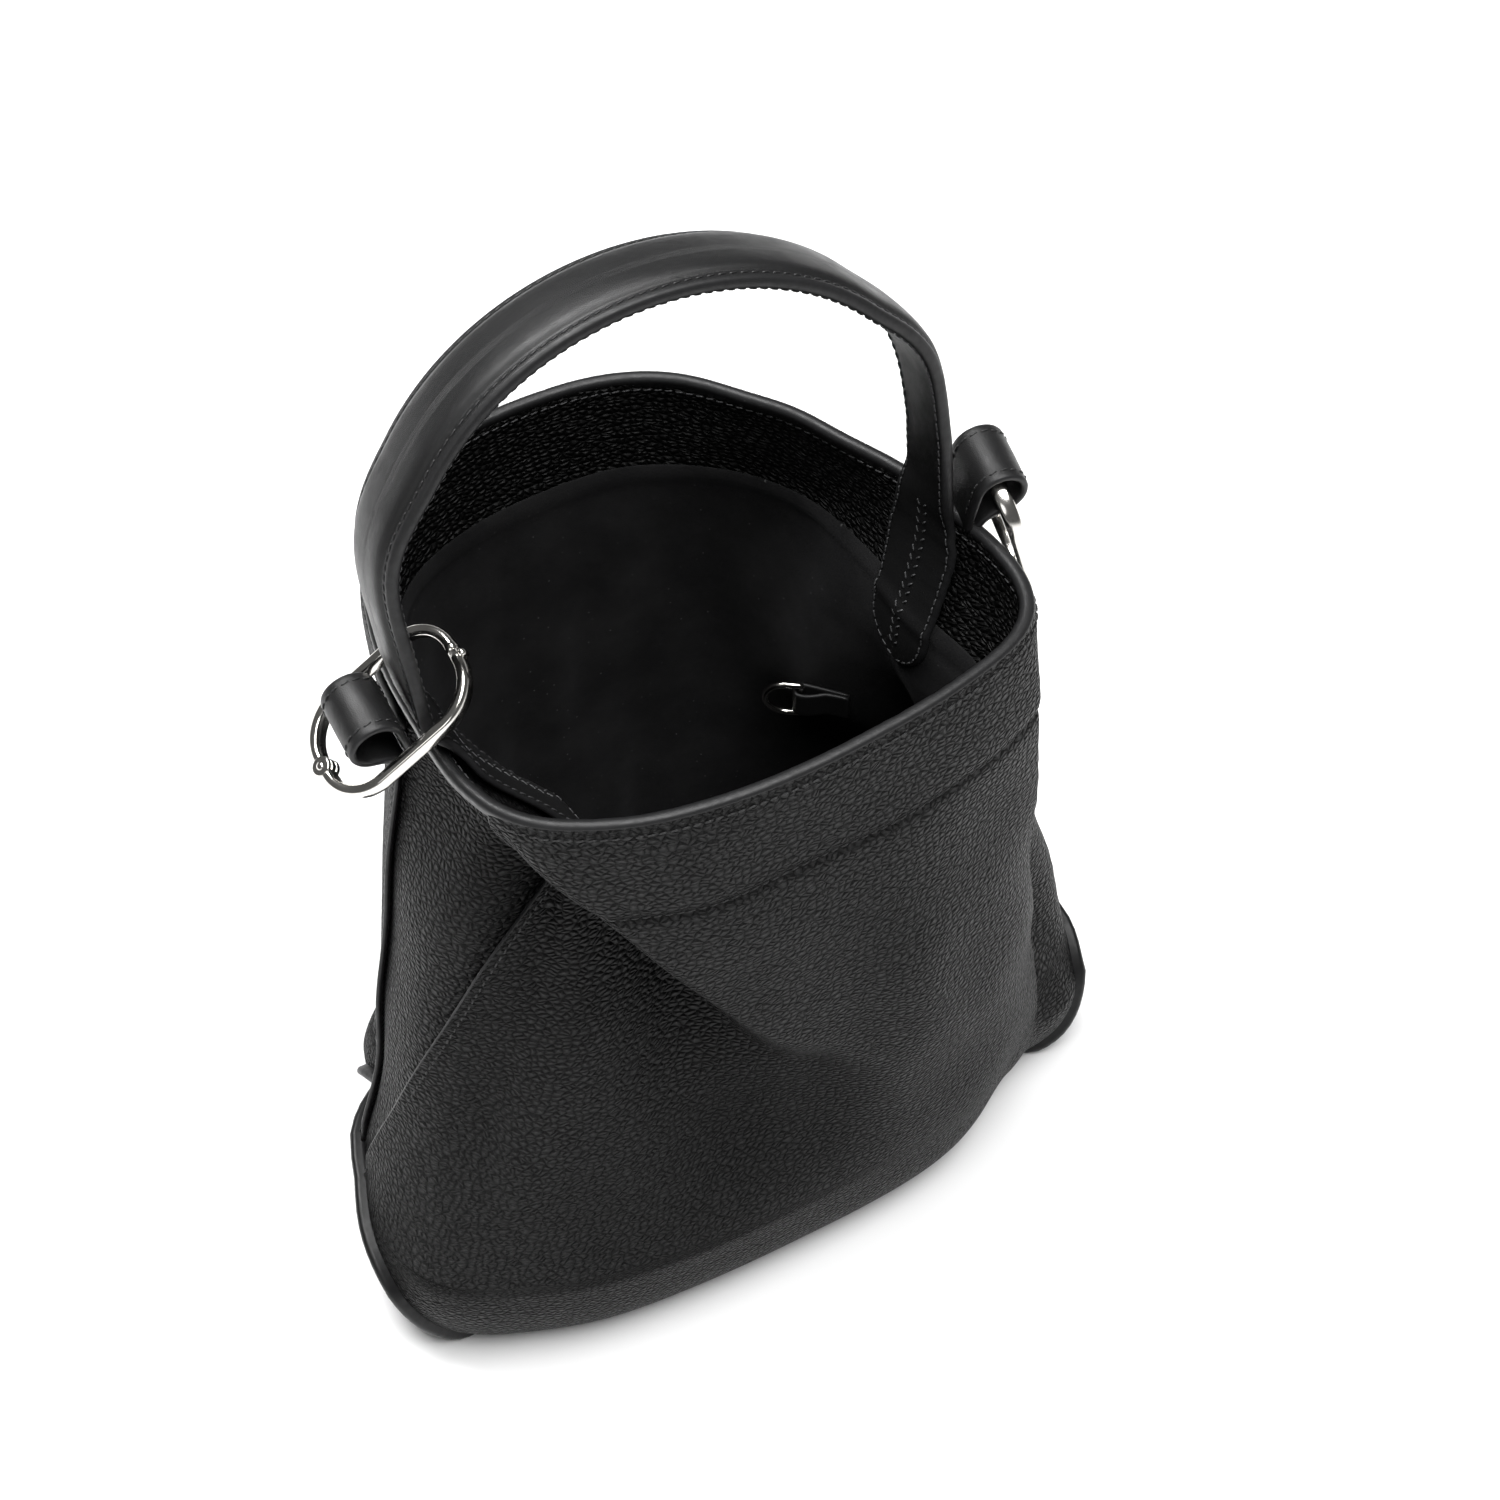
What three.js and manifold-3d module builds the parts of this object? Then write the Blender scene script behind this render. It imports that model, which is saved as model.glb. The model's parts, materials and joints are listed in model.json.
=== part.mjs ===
// A slouching pebbled-leather bucket handbag, standing open on its base.
//
// Millimetres, +Z up. X runs along the bag from the left handle root to the right one, the front
// faces -Y, and the origin is on the floor under the middle of the base.
// The leather walls are lofted from a few horizontal sections and split into panels along the seams.

import * as THREE from 'three';
import { mergeVertices } from 'three/addons/utils/BufferGeometryUtils.js';
import Module from 'manifold-3d';

const wasm = await Module();
wasm.setup();

// ---------------------------------------------------------------- driving dimensions

const GAP = 0.3; // clearance between pieces that touch
const degrees = THREE.MathUtils.degToRad;

// Walls
const RIM_HEIGHT = 266;
const LEATHER = 2.0; // panel thickness
const BASE_ROLL_HIGH = 34; // the walls turn under the base along an ellipse this high
const BASE_ROLL_DEEP = 16; // and this deep
const LINING = 0.8;
const LINING_LOOSE = 3.6; // the lining hangs this far inside the leather
const LINING_FOOT_TURN = 7; // the lining's floor is this much smaller all round than its wall
const FACING = 1.4;
const FACING_LOOSE = 1.3;
const FACING_HEIGHT = 41;
const BOARD = 2.0;

// Horizontal sections of the outside surface, from the floor to the rim: centre of the length (cx),
// half length, depth in front of and behind the centre line, and squareness of the outline
// (2 is an ellipse, more is boxier).
const SECTIONS = [
  { z: 0, cx: -1, half: 133, front: 82, back: 72, square: 3.1 },
  { z: 48, cx: -1, half: 135, front: 82, back: 73, square: 2.8 },
  { z: 130, cx: 1, half: 111, front: 82, back: 82, square: 2.6 },
  { z: 200, cx: 4, half: 98, front: 72, back: 90, square: 2.5 },
  { z: 266, cx: 3, half: 90, front: 61, back: 97, square: 2.3 },
];

// Soft bulges (+) and hollows (-) of the slouched wall. turn is the direction seen from above in
// degrees (0 is +X, 90 is the back), spread and rise are the sizes of the swelling.
const SWELLS = [
  { turn: 50, z: 266, spread: 24, rise: 90, out: -12 }, // back right rim drawn straight
  { turn: 22, z: 266, spread: 18, rise: 40, out: -9 },
  { turn: 128, z: 250, spread: 24, rise: 80, out: 7 }, // back left rim pushed out
  { turn: 142, z: 266, spread: 22, rise: 70, out: -2.5 },
  { turn: 322, z: 262, spread: 22, rise: 70, out: 7 }, // front right of the rim squared
  { turn: 330, z: 266, spread: 16, rise: 60, out: 4 },
  { turn: 330, z: 205, spread: 12, rise: 40, out: 4 },
  { turn: 36, z: 150, spread: 24, rise: 60, out: -15 }, // back right wall folded in
  { turn: 152, z: 140, spread: 30, rise: 60, out: -9 }, // back left wall drawn in
  { turn: 183, z: 222, spread: 20, rise: 34, out: -22 }, // left gusset leans in below the rim
  { turn: 4, z: 208, spread: 24, rise: 42, out: -19 }, // right gusset leans in below the rim
  { turn: 148, z: 76, spread: 34, rise: 36, out: -19 }, // back left corner sucked in
  { turn: 163, z: 44, spread: 18, rise: 46, out: -15 },
  { turn: 200, z: 16, spread: 26, rise: 40, out: 7 }, // front left end of the base
  { turn: 250, z: 45, spread: 40, rise: 26, out: 2 }, // barrel of the front, low down
  { turn: 322, z: 78, spread: 15, rise: 42, out: -9 }, // front right corner tucked under
  { turn: 304, z: 6, spread: 14, rise: 40, out: -14 },
  { turn: 329, z: 4, spread: 13, rise: 34, out: 12 }, // right end of the base
  { turn: 356, z: 44, spread: 15, rise: 42, out: -8 },
  { turn: 266, z: 92, spread: 8, rise: 24, out: -7 }, // valley where the long fold runs out
  { turn: 274, z: 150, spread: 6, rise: 40, out: -3 }, // upright crease beside it
  { turn: 284, z: 130, spread: 8, rise: 50, out: 2.5 },
];

// Places where the loose lining hangs further in than the leather behind it.
const SAGS = [
  { turn: 22, z: 155, spread: 22, rise: 44, out: 16 }, // right side, pulled in by the ring's tab
  { turn: 345, z: 190, spread: 30, rise: 50, out: 5 },
  { turn: 100, z: 110, spread: 60, rise: 60, out: 3 },
];

// The long diagonal fold of the front: a ridge that falls from the left handle root to the middle
// of the front, with a hollow pocket below it that runs out above the base.
const FOLD = {
  ridgeTurn: 200, // the ridge leaves the rim here
  fall: 0.0909, // how fast it falls, and with what power of the direction
  power: 1.7,
  depth: 42,
  lip: 4, // the hollow starts this far above the ridge
  soft: 26, // and is full this far below it
  softer: 40, // more at its left, below the rim
  softTurns: [215, 250],
  openTurns: [178, 210],
  closeTurns: [252, 280],
  foot: 46,
  leastTop: 76,
  footPower: 0.9,
};

// Hollow behind the front right corner, where the right gusset has folded in. It starts in the
// direction turn at each height and goes in by depth.
const CORNER = [
  { z: 0, turn: 298, depth: 0 },
  { z: 40, turn: 309, depth: 4 },
  { z: 90, turn: 320, depth: 17 },
  { z: 200, turn: 321, depth: 13 },
  { z: 266, turn: 322, depth: 0 },
];
const CORNER_SHARPNESS = 9; // the corner turns inwards within this many degrees
const CORNER_END = [331, 348];

// Seams. The end cap is a D standing on the floor; the side gusset is a V that widens to the rim.
const CAP_HALF_WIDTH = 56;
const CAP_HEIGHT = 48;
const CAP_SQUARE = 2.4;
const GUSSET_FOOT = 6; // half width where it meets the cap
const GUSSET_TOP = 33; // half width at the rim
const GUSSET_FULL = 206; // height at which it is as wide as at the rim
const BACK_SEAM = 38; // the panels meet under the base, this far behind the centre line
const WELT_WIDTH = 2.4;
const WELT_PROUD = 3.2; // how far the welt stands out of the wall
const WELT_GAP = 0.9; // between the welt and the leather beside it

// Handle: one strap, arched in a plane that leans back
const HANDLE_BASE = new THREE.Vector3(-1.8, 0.8, 270.4); // middle of the line between the two roots
const HANDLE_HALF_SPAN = 86;
const HANDLE_RISE = 109.5;
const HANDLE_ROUNDNESS = 0.73;
const HANDLE_LEAN = degrees(16.6);
const LEG_LEAN = [HANDLE_LEAN, degrees(7)]; // lean of the left and right root below the pivot line
const STRAP_WIDTH = 31.5;
const NECK_WIDTH = 23; // beside the rolled loops
const NECK_X = [-83.2, 82]; // middle of the left and right neck
const TAB_WIDTH = 28; // of the ends inside the bag
const LEAST_HALF_WIDTH = 0.5; // at the very tips of the strap's layers
const STRAP_LAYER = 1.7; // each leather layer
const STRAP_CORE = 2.0;
const PIVOT_RISE = 27; // the handle bends here, measured up its own plane from HANDLE_BASE
const PIVOT_SWEEP = degrees(44);
const PIVOT_GAP = 0.6;
const TAB_DEPTH = 62; // how far the strap's end reaches down inside the rim
const TAB_FULLNESS = 0.97; // of its round tip; 1 would be a half circle
const TAB_WIDENS = [2, 18]; // depths between which the strap widens again
const TAB_THICKNESS = 2.6;
const TAB_OFF = 1.2; // from the lining to the tab

// Rolled loop outside each handle root
const LOOP_WIDTH = 19.5;
const LOOP_OUTER = 8.2;
const LOOP_LAYER = 2.2;
const LOOP_PINCH_OUT = 2.1; // the tunnel lies this much further out than its own radius
const LOOP_PINCH_UP = 3.1; // and this much higher
const LOOP_FOOT_Z = 267; // the pinched foot stands on the rim
const LOOP_Y = [3.2, 1.4]; // middle of the left and right loop, front to back
const LOOP_OFF = 0.5; // from the strap to the loop's foot
const LOOP_YAW_RIGHT = degrees(9); // the right loop is turned a little towards the front

// Openable oval link
const LINK_LENGTH = 53;
const LINK_WIDTH = 35;
const LINK_BAND = 3.4;
const LINK_HEIGHT = 5.2;
const LINK_CORNER = 15;
const LINK_PIN = 0.9; // hinge pin radius
const LINK_EYE = 2.9; // radius of the hinge eyes
const LINK_NUB = 1.1; // radius of the thumb nub
const LINK_NUB_PROUD = 0.3;
const LINK_LEFT_MIDDLE = [-88.6, 4.2, 275.4];
const LINK_LEFT_TILT = degrees(33);
const LINK_RIGHT_HANG = degrees(15); // from straight down, resting clear of the wall

// D-ring inside
const DRING_WIDTH = 17;
const DRING_HEIGHT = 14;
const DRING_WIRE = 2.2;
const DRING_TAB_WIDTH = 10;
const DRING_TAB_ROLL = 3.3; // radius of its roll round the ring's bar
const DRING_TAB_LAYER = 1.2; // thickness of the strip it is folded from
const DRING_LEVEL = 155;
const DRING_TURN = 14; // where the tab's foot is sewn on
const DRING_REACH = 15; // from the tab's foot to the middle of the ring's bar
const DRING_OFF = 4.4; // from the lining to the middle of the bar
const DRING_OPEN = degrees(12); // the ring rests this far off the lining

// ---------------------------------------------------------------- materials

function material(color, roughness, metalness = 0) {
  return new THREE.MeshStandardMaterial({ color, roughness, metalness });
}

const PEBBLED = material(0x1c1c1d, 0.55);
const SMOOTH = material(0x222223, 0.42);
const SUEDE = material(0x0c0c0d, 0.95);
const EDGE_PAINT = material(0x17181a, 0.5);
const BOARD_GREY = material(0x2c2a28, 0.9);
const SILVER = material(0xd9d4cc, 0.14, 1);

// ---------------------------------------------------------------- solids from grids

// Closed solid between two grids of points, grid[row][column]. The first grid is the outer face.
// Rows that run all the way round are joined end to end.
function solidBetween(outer, inner, allRound) {
  const lastRow = outer.length - 1;
  const columns = outer[0].length;
  const lastColumn = columns - 1;
  const triangles = [];
  const outerAt = (r, c) => r * columns + (c % columns);
  const innerAt = (r, c) => (lastRow + 1 + r) * columns + (c % columns);
  const quad = (a, b, c, d) => triangles.push(a, b, c, a, c, d);
  for (let c = 0; c < (allRound ? columns : lastColumn); c++) {
    for (let r = 0; r < lastRow; r++) {
      quad(outerAt(r, c), outerAt(r, c + 1), outerAt(r + 1, c + 1), outerAt(r + 1, c));
      quad(innerAt(r, c), innerAt(r + 1, c), innerAt(r + 1, c + 1), innerAt(r, c + 1));
    }
    quad(outerAt(0, c + 1), outerAt(0, c), innerAt(0, c), innerAt(0, c + 1));
    quad(outerAt(lastRow, c), outerAt(lastRow, c + 1), innerAt(lastRow, c + 1), innerAt(lastRow, c));
  }
  for (let r = 0; r < lastRow && !allRound; r++) {
    const [before, after] = [innerAt(r, lastColumn), innerAt(r + 1, lastColumn)];
    quad(outerAt(r, 0), outerAt(r + 1, 0), innerAt(r + 1, 0), innerAt(r, 0));
    quad(outerAt(r + 1, lastColumn), outerAt(r, lastColumn), before, after);
  }
  return closedGeometry([...outer.flat(), ...inner.flat()], triangles);
}

const slab = (outer, inner) => solidBetween(outer, inner, false);
const ring = (outer, inner) => solidBetween(outer, inner, true);

// Indexed geometry with every face turned outwards, whichever way the grid ran.
function closedGeometry(points, triangles) {
  let volume = 0;
  for (let t = 0; t < triangles.length; t += 3) {
    const [a, b, c] = [points[triangles[t]], points[triangles[t + 1]], points[triangles[t + 2]]];
    volume += a.dot(new THREE.Vector3().crossVectors(b, c));
  }
  const index = volume > 0 ? triangles : triangles.reverse();
  const geometry = new THREE.BufferGeometry().setFromPoints(points);
  geometry.setIndex(index);
  return geometry;
}

// Points of an arc, ends included.
function arc(x, y, radius, from, to, steps) {
  return Array.from({ length: steps + 1 }, (_, k) => {
    const turn = from + ((to - from) * k) / steps;
    return new THREE.Vector2(x + radius * Math.cos(turn), y + radius * Math.sin(turn));
  });
}

// Straight extrusion along Z, centred on Z = 0, of an outline with an optional hole.
function plate(points, thickness, holePoints) {
  const shape = new THREE.Shape(points);
  if (holePoints) shape.holes.push(new THREE.Path(holePoints));
  const solid = new THREE.ExtrudeGeometry(shape, { depth: thickness, bevelEnabled: false });
  return solid.translate(0, 0, -thickness / 2);
}

const circle = (x, y, radius, steps) => arc(x, y, radius, 0, 2 * Math.PI, steps).slice(0, steps);

// ---------------------------------------------------------------- the slouched wall

const OUTLINE_STEPS = 360;
const heights = SECTIONS.map((section) => section.z);
const sizes = SECTIONS.flatMap(({ cx, half, front, back, square }) => [cx, half, front, back, square]);
const sectionCurve = new THREE.CubicInterpolant(heights, sizes, 5, new Float64Array(5));

function sectionAt(z) {
  const [cx, half, front, back, square] = sectionCurve.evaluate(z);
  return { cx, half, front, back, square };
}

const bell = (t) => Math.exp(-t * t);
const angleBetween = (a, b) => ((a - b + 540) % 360) - 180;

// Sum of soft swellings in the direction turn (degrees), at height z.
function swell(list, turn, z) {
  return list.reduce((sum, { turn: middle, z: height, spread, rise, out }) => {
    const across = angleBetween(turn, middle) / spread;
    return sum + out * bell(across) * bell((z - height) / rise);
  }, 0);
}

// How far the wall stands outside its plain section.
const swelling = (turn, z) => swell(SWELLS, turn, z) - pocket(turn, z) - corner(turn, z);

// Depth of the hollow below the diagonal fold.
function pocket(turn, z) {
  const ridge = RIM_HEIGHT - FOLD.fall * Math.max(turn - FOLD.ridgeTurn, 0) ** FOLD.power;
  const soft = FOLD.soft + FOLD.softer * (1 - THREE.MathUtils.smoothstep(turn, ...FOLD.softTurns));
  const below = THREE.MathUtils.smoothstep(ridge - z, -FOLD.lip, soft);
  const top = Math.max(ridge - FOLD.soft, FOLD.leastTop);
  const aboveFoot = THREE.MathUtils.clamp((z - FOLD.foot) / (top - FOLD.foot), 0, 1) ** FOLD.footPower;
  const opens = THREE.MathUtils.smoothstep(turn, ...FOLD.openTurns);
  const closes = 1 - THREE.MathUtils.smoothstep(turn, ...FOLD.closeTurns);
  return FOLD.depth * below * aboveFoot * opens * closes;
}

// Depth of the hollow behind the front right corner.
function corner(turn, z) {
  const next = CORNER.findIndex((row) => row.z >= z);
  const [low, high] = [CORNER[Math.max(next - 1, 0)], CORNER[next]];
  const part = high.z > low.z ? (z - low.z) / (high.z - low.z) : 0;
  const start = THREE.MathUtils.lerp(low.turn, high.turn, part);
  const depth = THREE.MathUtils.lerp(low.depth, high.depth, part);
  const opens = THREE.MathUtils.smoothstep(turn, start, start + CORNER_SHARPNESS);
  return depth * opens * (1 - THREE.MathUtils.smoothstep(turn, ...CORNER_END));
}

// Closed outline of the outside surface at height z: one point and one outward normal per degree.
const outlines = new Map();
function outlineAt(z) {
  if (outlines.has(z)) return outlines.get(z);
  const { cx, half, front, back, square } = sectionAt(z);
  const points = [];
  for (let step = 0; step < OUTLINE_STEPS; step++) {
    const turn = (step / OUTLINE_STEPS) * 2 * Math.PI;
    const [c, s] = [Math.cos(turn), Math.sin(turn)];
    const depth = s < 0 ? front : back;
    const x = Math.sign(c) * Math.abs(c) ** (2 / square) * half;
    const y = Math.sign(s) * Math.abs(s) ** (2 / square) * depth;
    const slopeX = (Math.sign(c) * Math.abs(c) ** (2 - 2 / square)) / half;
    const slopeY = (Math.sign(s) * Math.abs(s) ** (2 - 2 / square)) / depth;
    const outward = new THREE.Vector2(slopeX, slopeY).normalize();
    points.push(new THREE.Vector2(cx + x, y).addScaledVector(outward, swelling(step, z)));
  }
  const normals = points.map((_, step) => {
    const next = points[(step + 2) % OUTLINE_STEPS];
    const before = points[(step - 2 + OUTLINE_STEPS) % OUTLINE_STEPS];
    return new THREE.Vector2(next.y - before.y, before.x - next.x).normalize();
  });
  outlines.set(z, { points, normals });
  return outlines.get(z);
}

// A point of the wall. step says where along the outline, in degrees; level is the height, except
// that the last BASE_ROLL_HIGH of it runs round the rolled edge to the floor; inset is the depth
// below the outside surface.
function wallPoint(step, level, inset) {
  const { points, normals } = outlineAt(Math.max(level, BASE_ROLL_HIGH));
  const low = Math.floor(step);
  const [i, j] = [low, low + 1].map((k) => (k + OUTLINE_STEPS) % OUTLINE_STEPS);
  const point = points[i].clone().lerp(points[j], step - low);
  const normal = normals[i].clone().lerp(normals[j], step - low).normalize();
  const roll = level < BASE_ROLL_HIGH ? (1 - level / BASE_ROLL_HIGH) * (Math.PI / 2) : 0;
  const shrink = inset + (BASE_ROLL_DEEP - inset) * (1 - Math.cos(roll));
  const rolled = BASE_ROLL_HIGH - (BASE_ROLL_HIGH - inset) * Math.sin(roll);
  point.addScaledVector(normal, -shrink);
  return new THREE.Vector3(point.x, point.y, level < BASE_ROLL_HIGH ? rolled : level);
}

// The outline step that lies a given distance along the wall from a starting step.
function stepAlong(startStep, level, distance) {
  const direction = Math.sign(distance) || 1;
  let travelled = 0;
  let step = startStep;
  let here = wallPoint(step, level, 0);
  while (travelled < Math.abs(distance)) {
    const next = wallPoint(step + direction, level, 0);
    const length = next.distanceTo(here);
    if (travelled + length >= Math.abs(distance)) {
      return step + (direction * (Math.abs(distance) - travelled)) / length;
    }
    travelled += length;
    step += direction;
    here = next;
  }
  return step;
}

// Steps spaced evenly along the wall between two steps.
function evenSteps(startStep, endStep, level, count) {
  const lengths = [0];
  const fine = 4 * count;
  let before = wallPoint(startStep, level, 0);
  for (let k = 1; k <= fine; k++) {
    const point = wallPoint(startStep + ((endStep - startStep) * k) / fine, level, 0);
    lengths.push(lengths[k - 1] + point.distanceTo(before));
    before = point;
  }
  const steps = [];
  let k = 0;
  for (let n = 0; n <= count; n++) {
    const target = (lengths[fine] * n) / count;
    while (k < fine - 1 && lengths[k + 1] < target) k++;
    const part = (target - lengths[k]) / (lengths[k + 1] - lengths[k]);
    steps.push(startStep + ((endStep - startStep) * (k + part)) / fine);
  }
  return steps;
}

// ---------------------------------------------------------------- seams

const LEFT = 180;
const RIGHT = 360;

function gussetHalfWidth(level) {
  const up = Math.min((level - CAP_HEIGHT) / (GUSSET_FULL - CAP_HEIGHT), 1);
  return THREE.MathUtils.lerp(GUSSET_FOOT, GUSSET_TOP, up);
}

const CAP_CLEAR = WELT_WIDTH / 2 + WELT_GAP; // from the middle of the welt to the leather beside it

// Stations along a quarter of the D, close together near the floor where the wall rolls under.
const CAP_STATIONS = Array.from({ length: 11 }, (_, k) => {
  const turn = (Math.PI / 2) * (k / 11) ** 1.6;
  return { across: Math.cos(turn) ** (2 / CAP_SQUARE), up: Math.sin(turn) ** (2 / CAP_SQUARE) };
});
const GUSSET_LEVELS = [CAP_HEIGHT + CAP_CLEAR + GAP, 64, 84, 104, 124, 144, 164, 184, 204, 225, 245,
  RIM_HEIGHT];
const PANEL_COLUMNS = 22;
const BASE_ROWS = 4;

// The D at one station, its outline grown by grow: how high it is there and how wide.
function capStation({ across, up }, grow) {
  return { level: up * (CAP_HEIGHT + grow), width: across * (CAP_HALF_WIDTH + grow) };
}

// Point of the wall's lower edge, at level 0, that lies at a given y on one side.
function floorEdge(centre, y) {
  let [low, high] = [centre - 75, centre + 75];
  const rising = centre === RIGHT;
  for (let k = 0; k < 40; k++) {
    const middle = (low + high) / 2;
    const below = wallPoint(middle, 0, 0).y < y;
    if (below === rising) low = middle;
    else high = middle;
  }
  return wallPoint((low + high) / 2, 0, 0);
}

// Front and back panel: the wall between the seams, turned under the base as far as the back seam.
function panelGeometry(isFront) {
  const rows = [
    ...GUSSET_LEVELS.map((level) => ({ level, width: gussetHalfWidth(level) + GAP / 2 })).reverse(),
    ...CAP_STATIONS.map((station) => capStation(station, CAP_CLEAR)).reverse(),
  ];
  const outer = [];
  const inner = [];
  for (const { level, width } of rows) {
    const start = stepAlong(LEFT, level, isFront ? width : -width);
    const end = isFront ? stepAlong(RIGHT, level, -width) : stepAlong(0, level, width);
    const steps = evenSteps(start, end, level, PANEL_COLUMNS);
    outer.push(steps.map((step) => wallPoint(step, level, 0)));
    inner.push(steps.map((step) => wallPoint(step, level, LEATHER)));
  }
  const edge = outer.at(-1);
  const [firstEdge, lastEdge] = [edge[0], edge.at(-1)];
  const seamY = BACK_SEAM + (isFront ? -GAP / 2 : GAP / 2);
  for (let row = 1; row <= BASE_ROWS; row++) {
    const along = row / BASE_ROWS;
    const leftY = THREE.MathUtils.lerp(firstEdge.y, seamY, along);
    const rightY = THREE.MathUtils.lerp(lastEdge.y, seamY, along);
    const leftX = floorEdge(LEFT, leftY).x + 6 * GAP;
    const rightX = floorEdge(RIGHT, rightY).x - 6 * GAP;
    const flat = edge.map((point) => {
      const across = (point.x - firstEdge.x) / (lastEdge.x - firstEdge.x);
      const bow = point.y - THREE.MathUtils.lerp(firstEdge.y, lastEdge.y, across);
      const y = THREE.MathUtils.lerp(leftY, rightY, across) + bow * (1 - along);
      return new THREE.Vector3(THREE.MathUtils.lerp(leftX, rightX, across), y, 0);
    });
    outer.push(flat);
    inner.push(flat.map((point) => point.clone().setZ(LEATHER)));
  }
  return slab(outer, inner);
}

// Patch of wall centred on one side: every row reaches its width to both sides of the centre.
function sidePatch(centre, rows, columns) {
  const grid = rows.map(({ level, width }) => {
    const [start, end] = [stepAlong(centre, level, -width), stepAlong(centre, level, width)];
    return { level, steps: evenSteps(start, end, level, columns) };
  });
  const face = (inset) => grid.map(({ level, steps }) => steps.map((step) => wallPoint(step, level, inset)));
  return slab(face(0), face(LEATHER));
}

// Side gusset: a V between the panels, from the top of the end cap to the rim.
function gussetGeometry(centre) {
  const rows = GUSSET_LEVELS.map((level) => ({ level, width: gussetHalfWidth(level) - GAP / 2 }));
  return sidePatch(centre, rows, 8);
}

// End cap: the D-shaped leather end, standing on the floor.
function capGeometry(centre) {
  return sidePatch(centre, CAP_STATIONS.map((station) => capStation(station, -CAP_CLEAR)), 12);
}

// Welt: the raised, edge-painted strip round the D, which thins out where it meets the floor.
function weltGeometry(centre) {
  const top = { across: 0, up: 1 };
  const mirrored = CAP_STATIONS.map(({ across, up }) => ({ across: -across, up })).reverse();
  const outer = [];
  const inner = [];
  for (const station of [...CAP_STATIONS, top, ...mirrored]) {
    const edges = [-WELT_WIDTH / 2, WELT_WIDTH / 2].map((grow) => {
      const { level, width } = capStation(station, grow);
      return { level, step: stepAlong(centre, level, width) };
    });
    outer.push(edges.map(({ level, step }) => wallPoint(step, level, -weltProud(level))));
    inner.push(edges.map(({ level, step }) => wallPoint(step, level, LEATHER)));
  }
  return slab(outer, inner);
}

// The welt never reaches below the floor where the wall rolls under.
function weltProud(level) {
  if (level >= BASE_ROLL_HIGH) return WELT_PROUD;
  const roll = (1 - level / BASE_ROLL_HIGH) * (Math.PI / 2);
  return Math.min(WELT_PROUD, BASE_ROLL_HIGH / Math.sin(roll) - BASE_ROLL_HIGH);
}

// ---------------------------------------------------------------- inside of the bag

const LINING_INSET = LEATHER + LINING_LOOSE;
const FACING_INSET = LEATHER + FACING_LOOSE;
const FACING_FOOT = RIM_HEIGHT - FACING_HEIGHT;
const RING_COLUMNS = 72;

const BOARD_CLEAR = 4; // from where the leather turns under the base
const BOARD_COLUMNS = 40;
const MIDDLE = new THREE.Vector2(2, 6); // middle of the bag, seen from above

// How many degrees to either side the soft pieces inside reach over a fold of the leather.
const SPAN = [
  { z: 200, reach: 8 },
  { z: 232, reach: 6 },
  { z: 258, reach: 1 },
  { z: 266, reach: 0 },
];

function reachAt(z) {
  const next = SPAN.findIndex((row) => row.z >= z);
  if (next <= 0) return next === 0 ? SPAN[0].reach : 0;
  const part = (z - SPAN[next - 1].z) / (SPAN[next].z - SPAN[next - 1].z);
  return Math.round(THREE.MathUtils.lerp(SPAN[next - 1].reach, SPAN[next].reach, part));
}

const RADIUS_PIECES = 6; // points looked at between two steps of the outline

// Distance of the leather from the middle of the bag, one for each degree round it.
function radiiAt(z) {
  const { points } = outlineAt(Math.max(z, BASE_ROLL_HIGH));
  const away = points.map((point) => point.clone().sub(MIDDLE));
  const radii = new Array(OUTLINE_STEPS).fill(Infinity);
  away.forEach((from, k) => {
    const to = away[(k + 1) % OUTLINE_STEPS];
    for (let n = 0; n < RADIUS_PIECES; n++) {
      const point = from.clone().lerp(to, n / RADIUS_PIECES);
      const angle = Math.round(THREE.MathUtils.radToDeg(point.angle())) % OUTLINE_STEPS;
      radii[angle] = Math.min(radii[angle], point.length());
    }
  });
  return radii;
}

// Values within reach of each place on a closed ring, put through pick.
function window(values, reach, pick) {
  return values.map((_, k) => {
    const near = [];
    for (let n = -reach; n <= reach; n++) near.push(values[(k + n + values.length) % values.length]);
    return pick(near);
  });
}

const mean = (values) => values.reduce((sum, value) => sum + value, 0) / values.length;

// The same, without the folds that the lining and facing span instead of creeping into them.
const insides = new Map();
function insideAt(z) {
  if (!insides.has(z)) {
    const reach = reachAt(z);
    const least = window(radiiAt(z), reach, (near) => Math.min(...near));
    insides.set(z, window(window(least, reach, mean), reach, mean));
  }
  return insides.get(z);
}

// Point inside the bag, at an angle seen from its middle and a depth below the outside surface.
function insidePoint(angle, level, depth) {
  const radii = insideAt(level);
  const low = Math.floor(angle);
  const [i, j] = [low, low + 1].map((k) => (k + OUTLINE_STEPS) % OUTLINE_STEPS);
  const outside = THREE.MathUtils.lerp(radii[i], radii[j], angle - low);
  const radius = outside - depth - swell(SAGS, angle, level);
  const turn = degrees(angle);
  return new THREE.Vector3(MIDDLE.x + radius * Math.cos(turn), MIDDLE.y + radius * Math.sin(turn), level);
}

function insideRing(level, depth, columns = RING_COLUMNS) {
  return Array.from({ length: columns }, (_, k) => insidePoint((k * OUTLINE_STEPS) / columns, level, depth));
}

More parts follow.
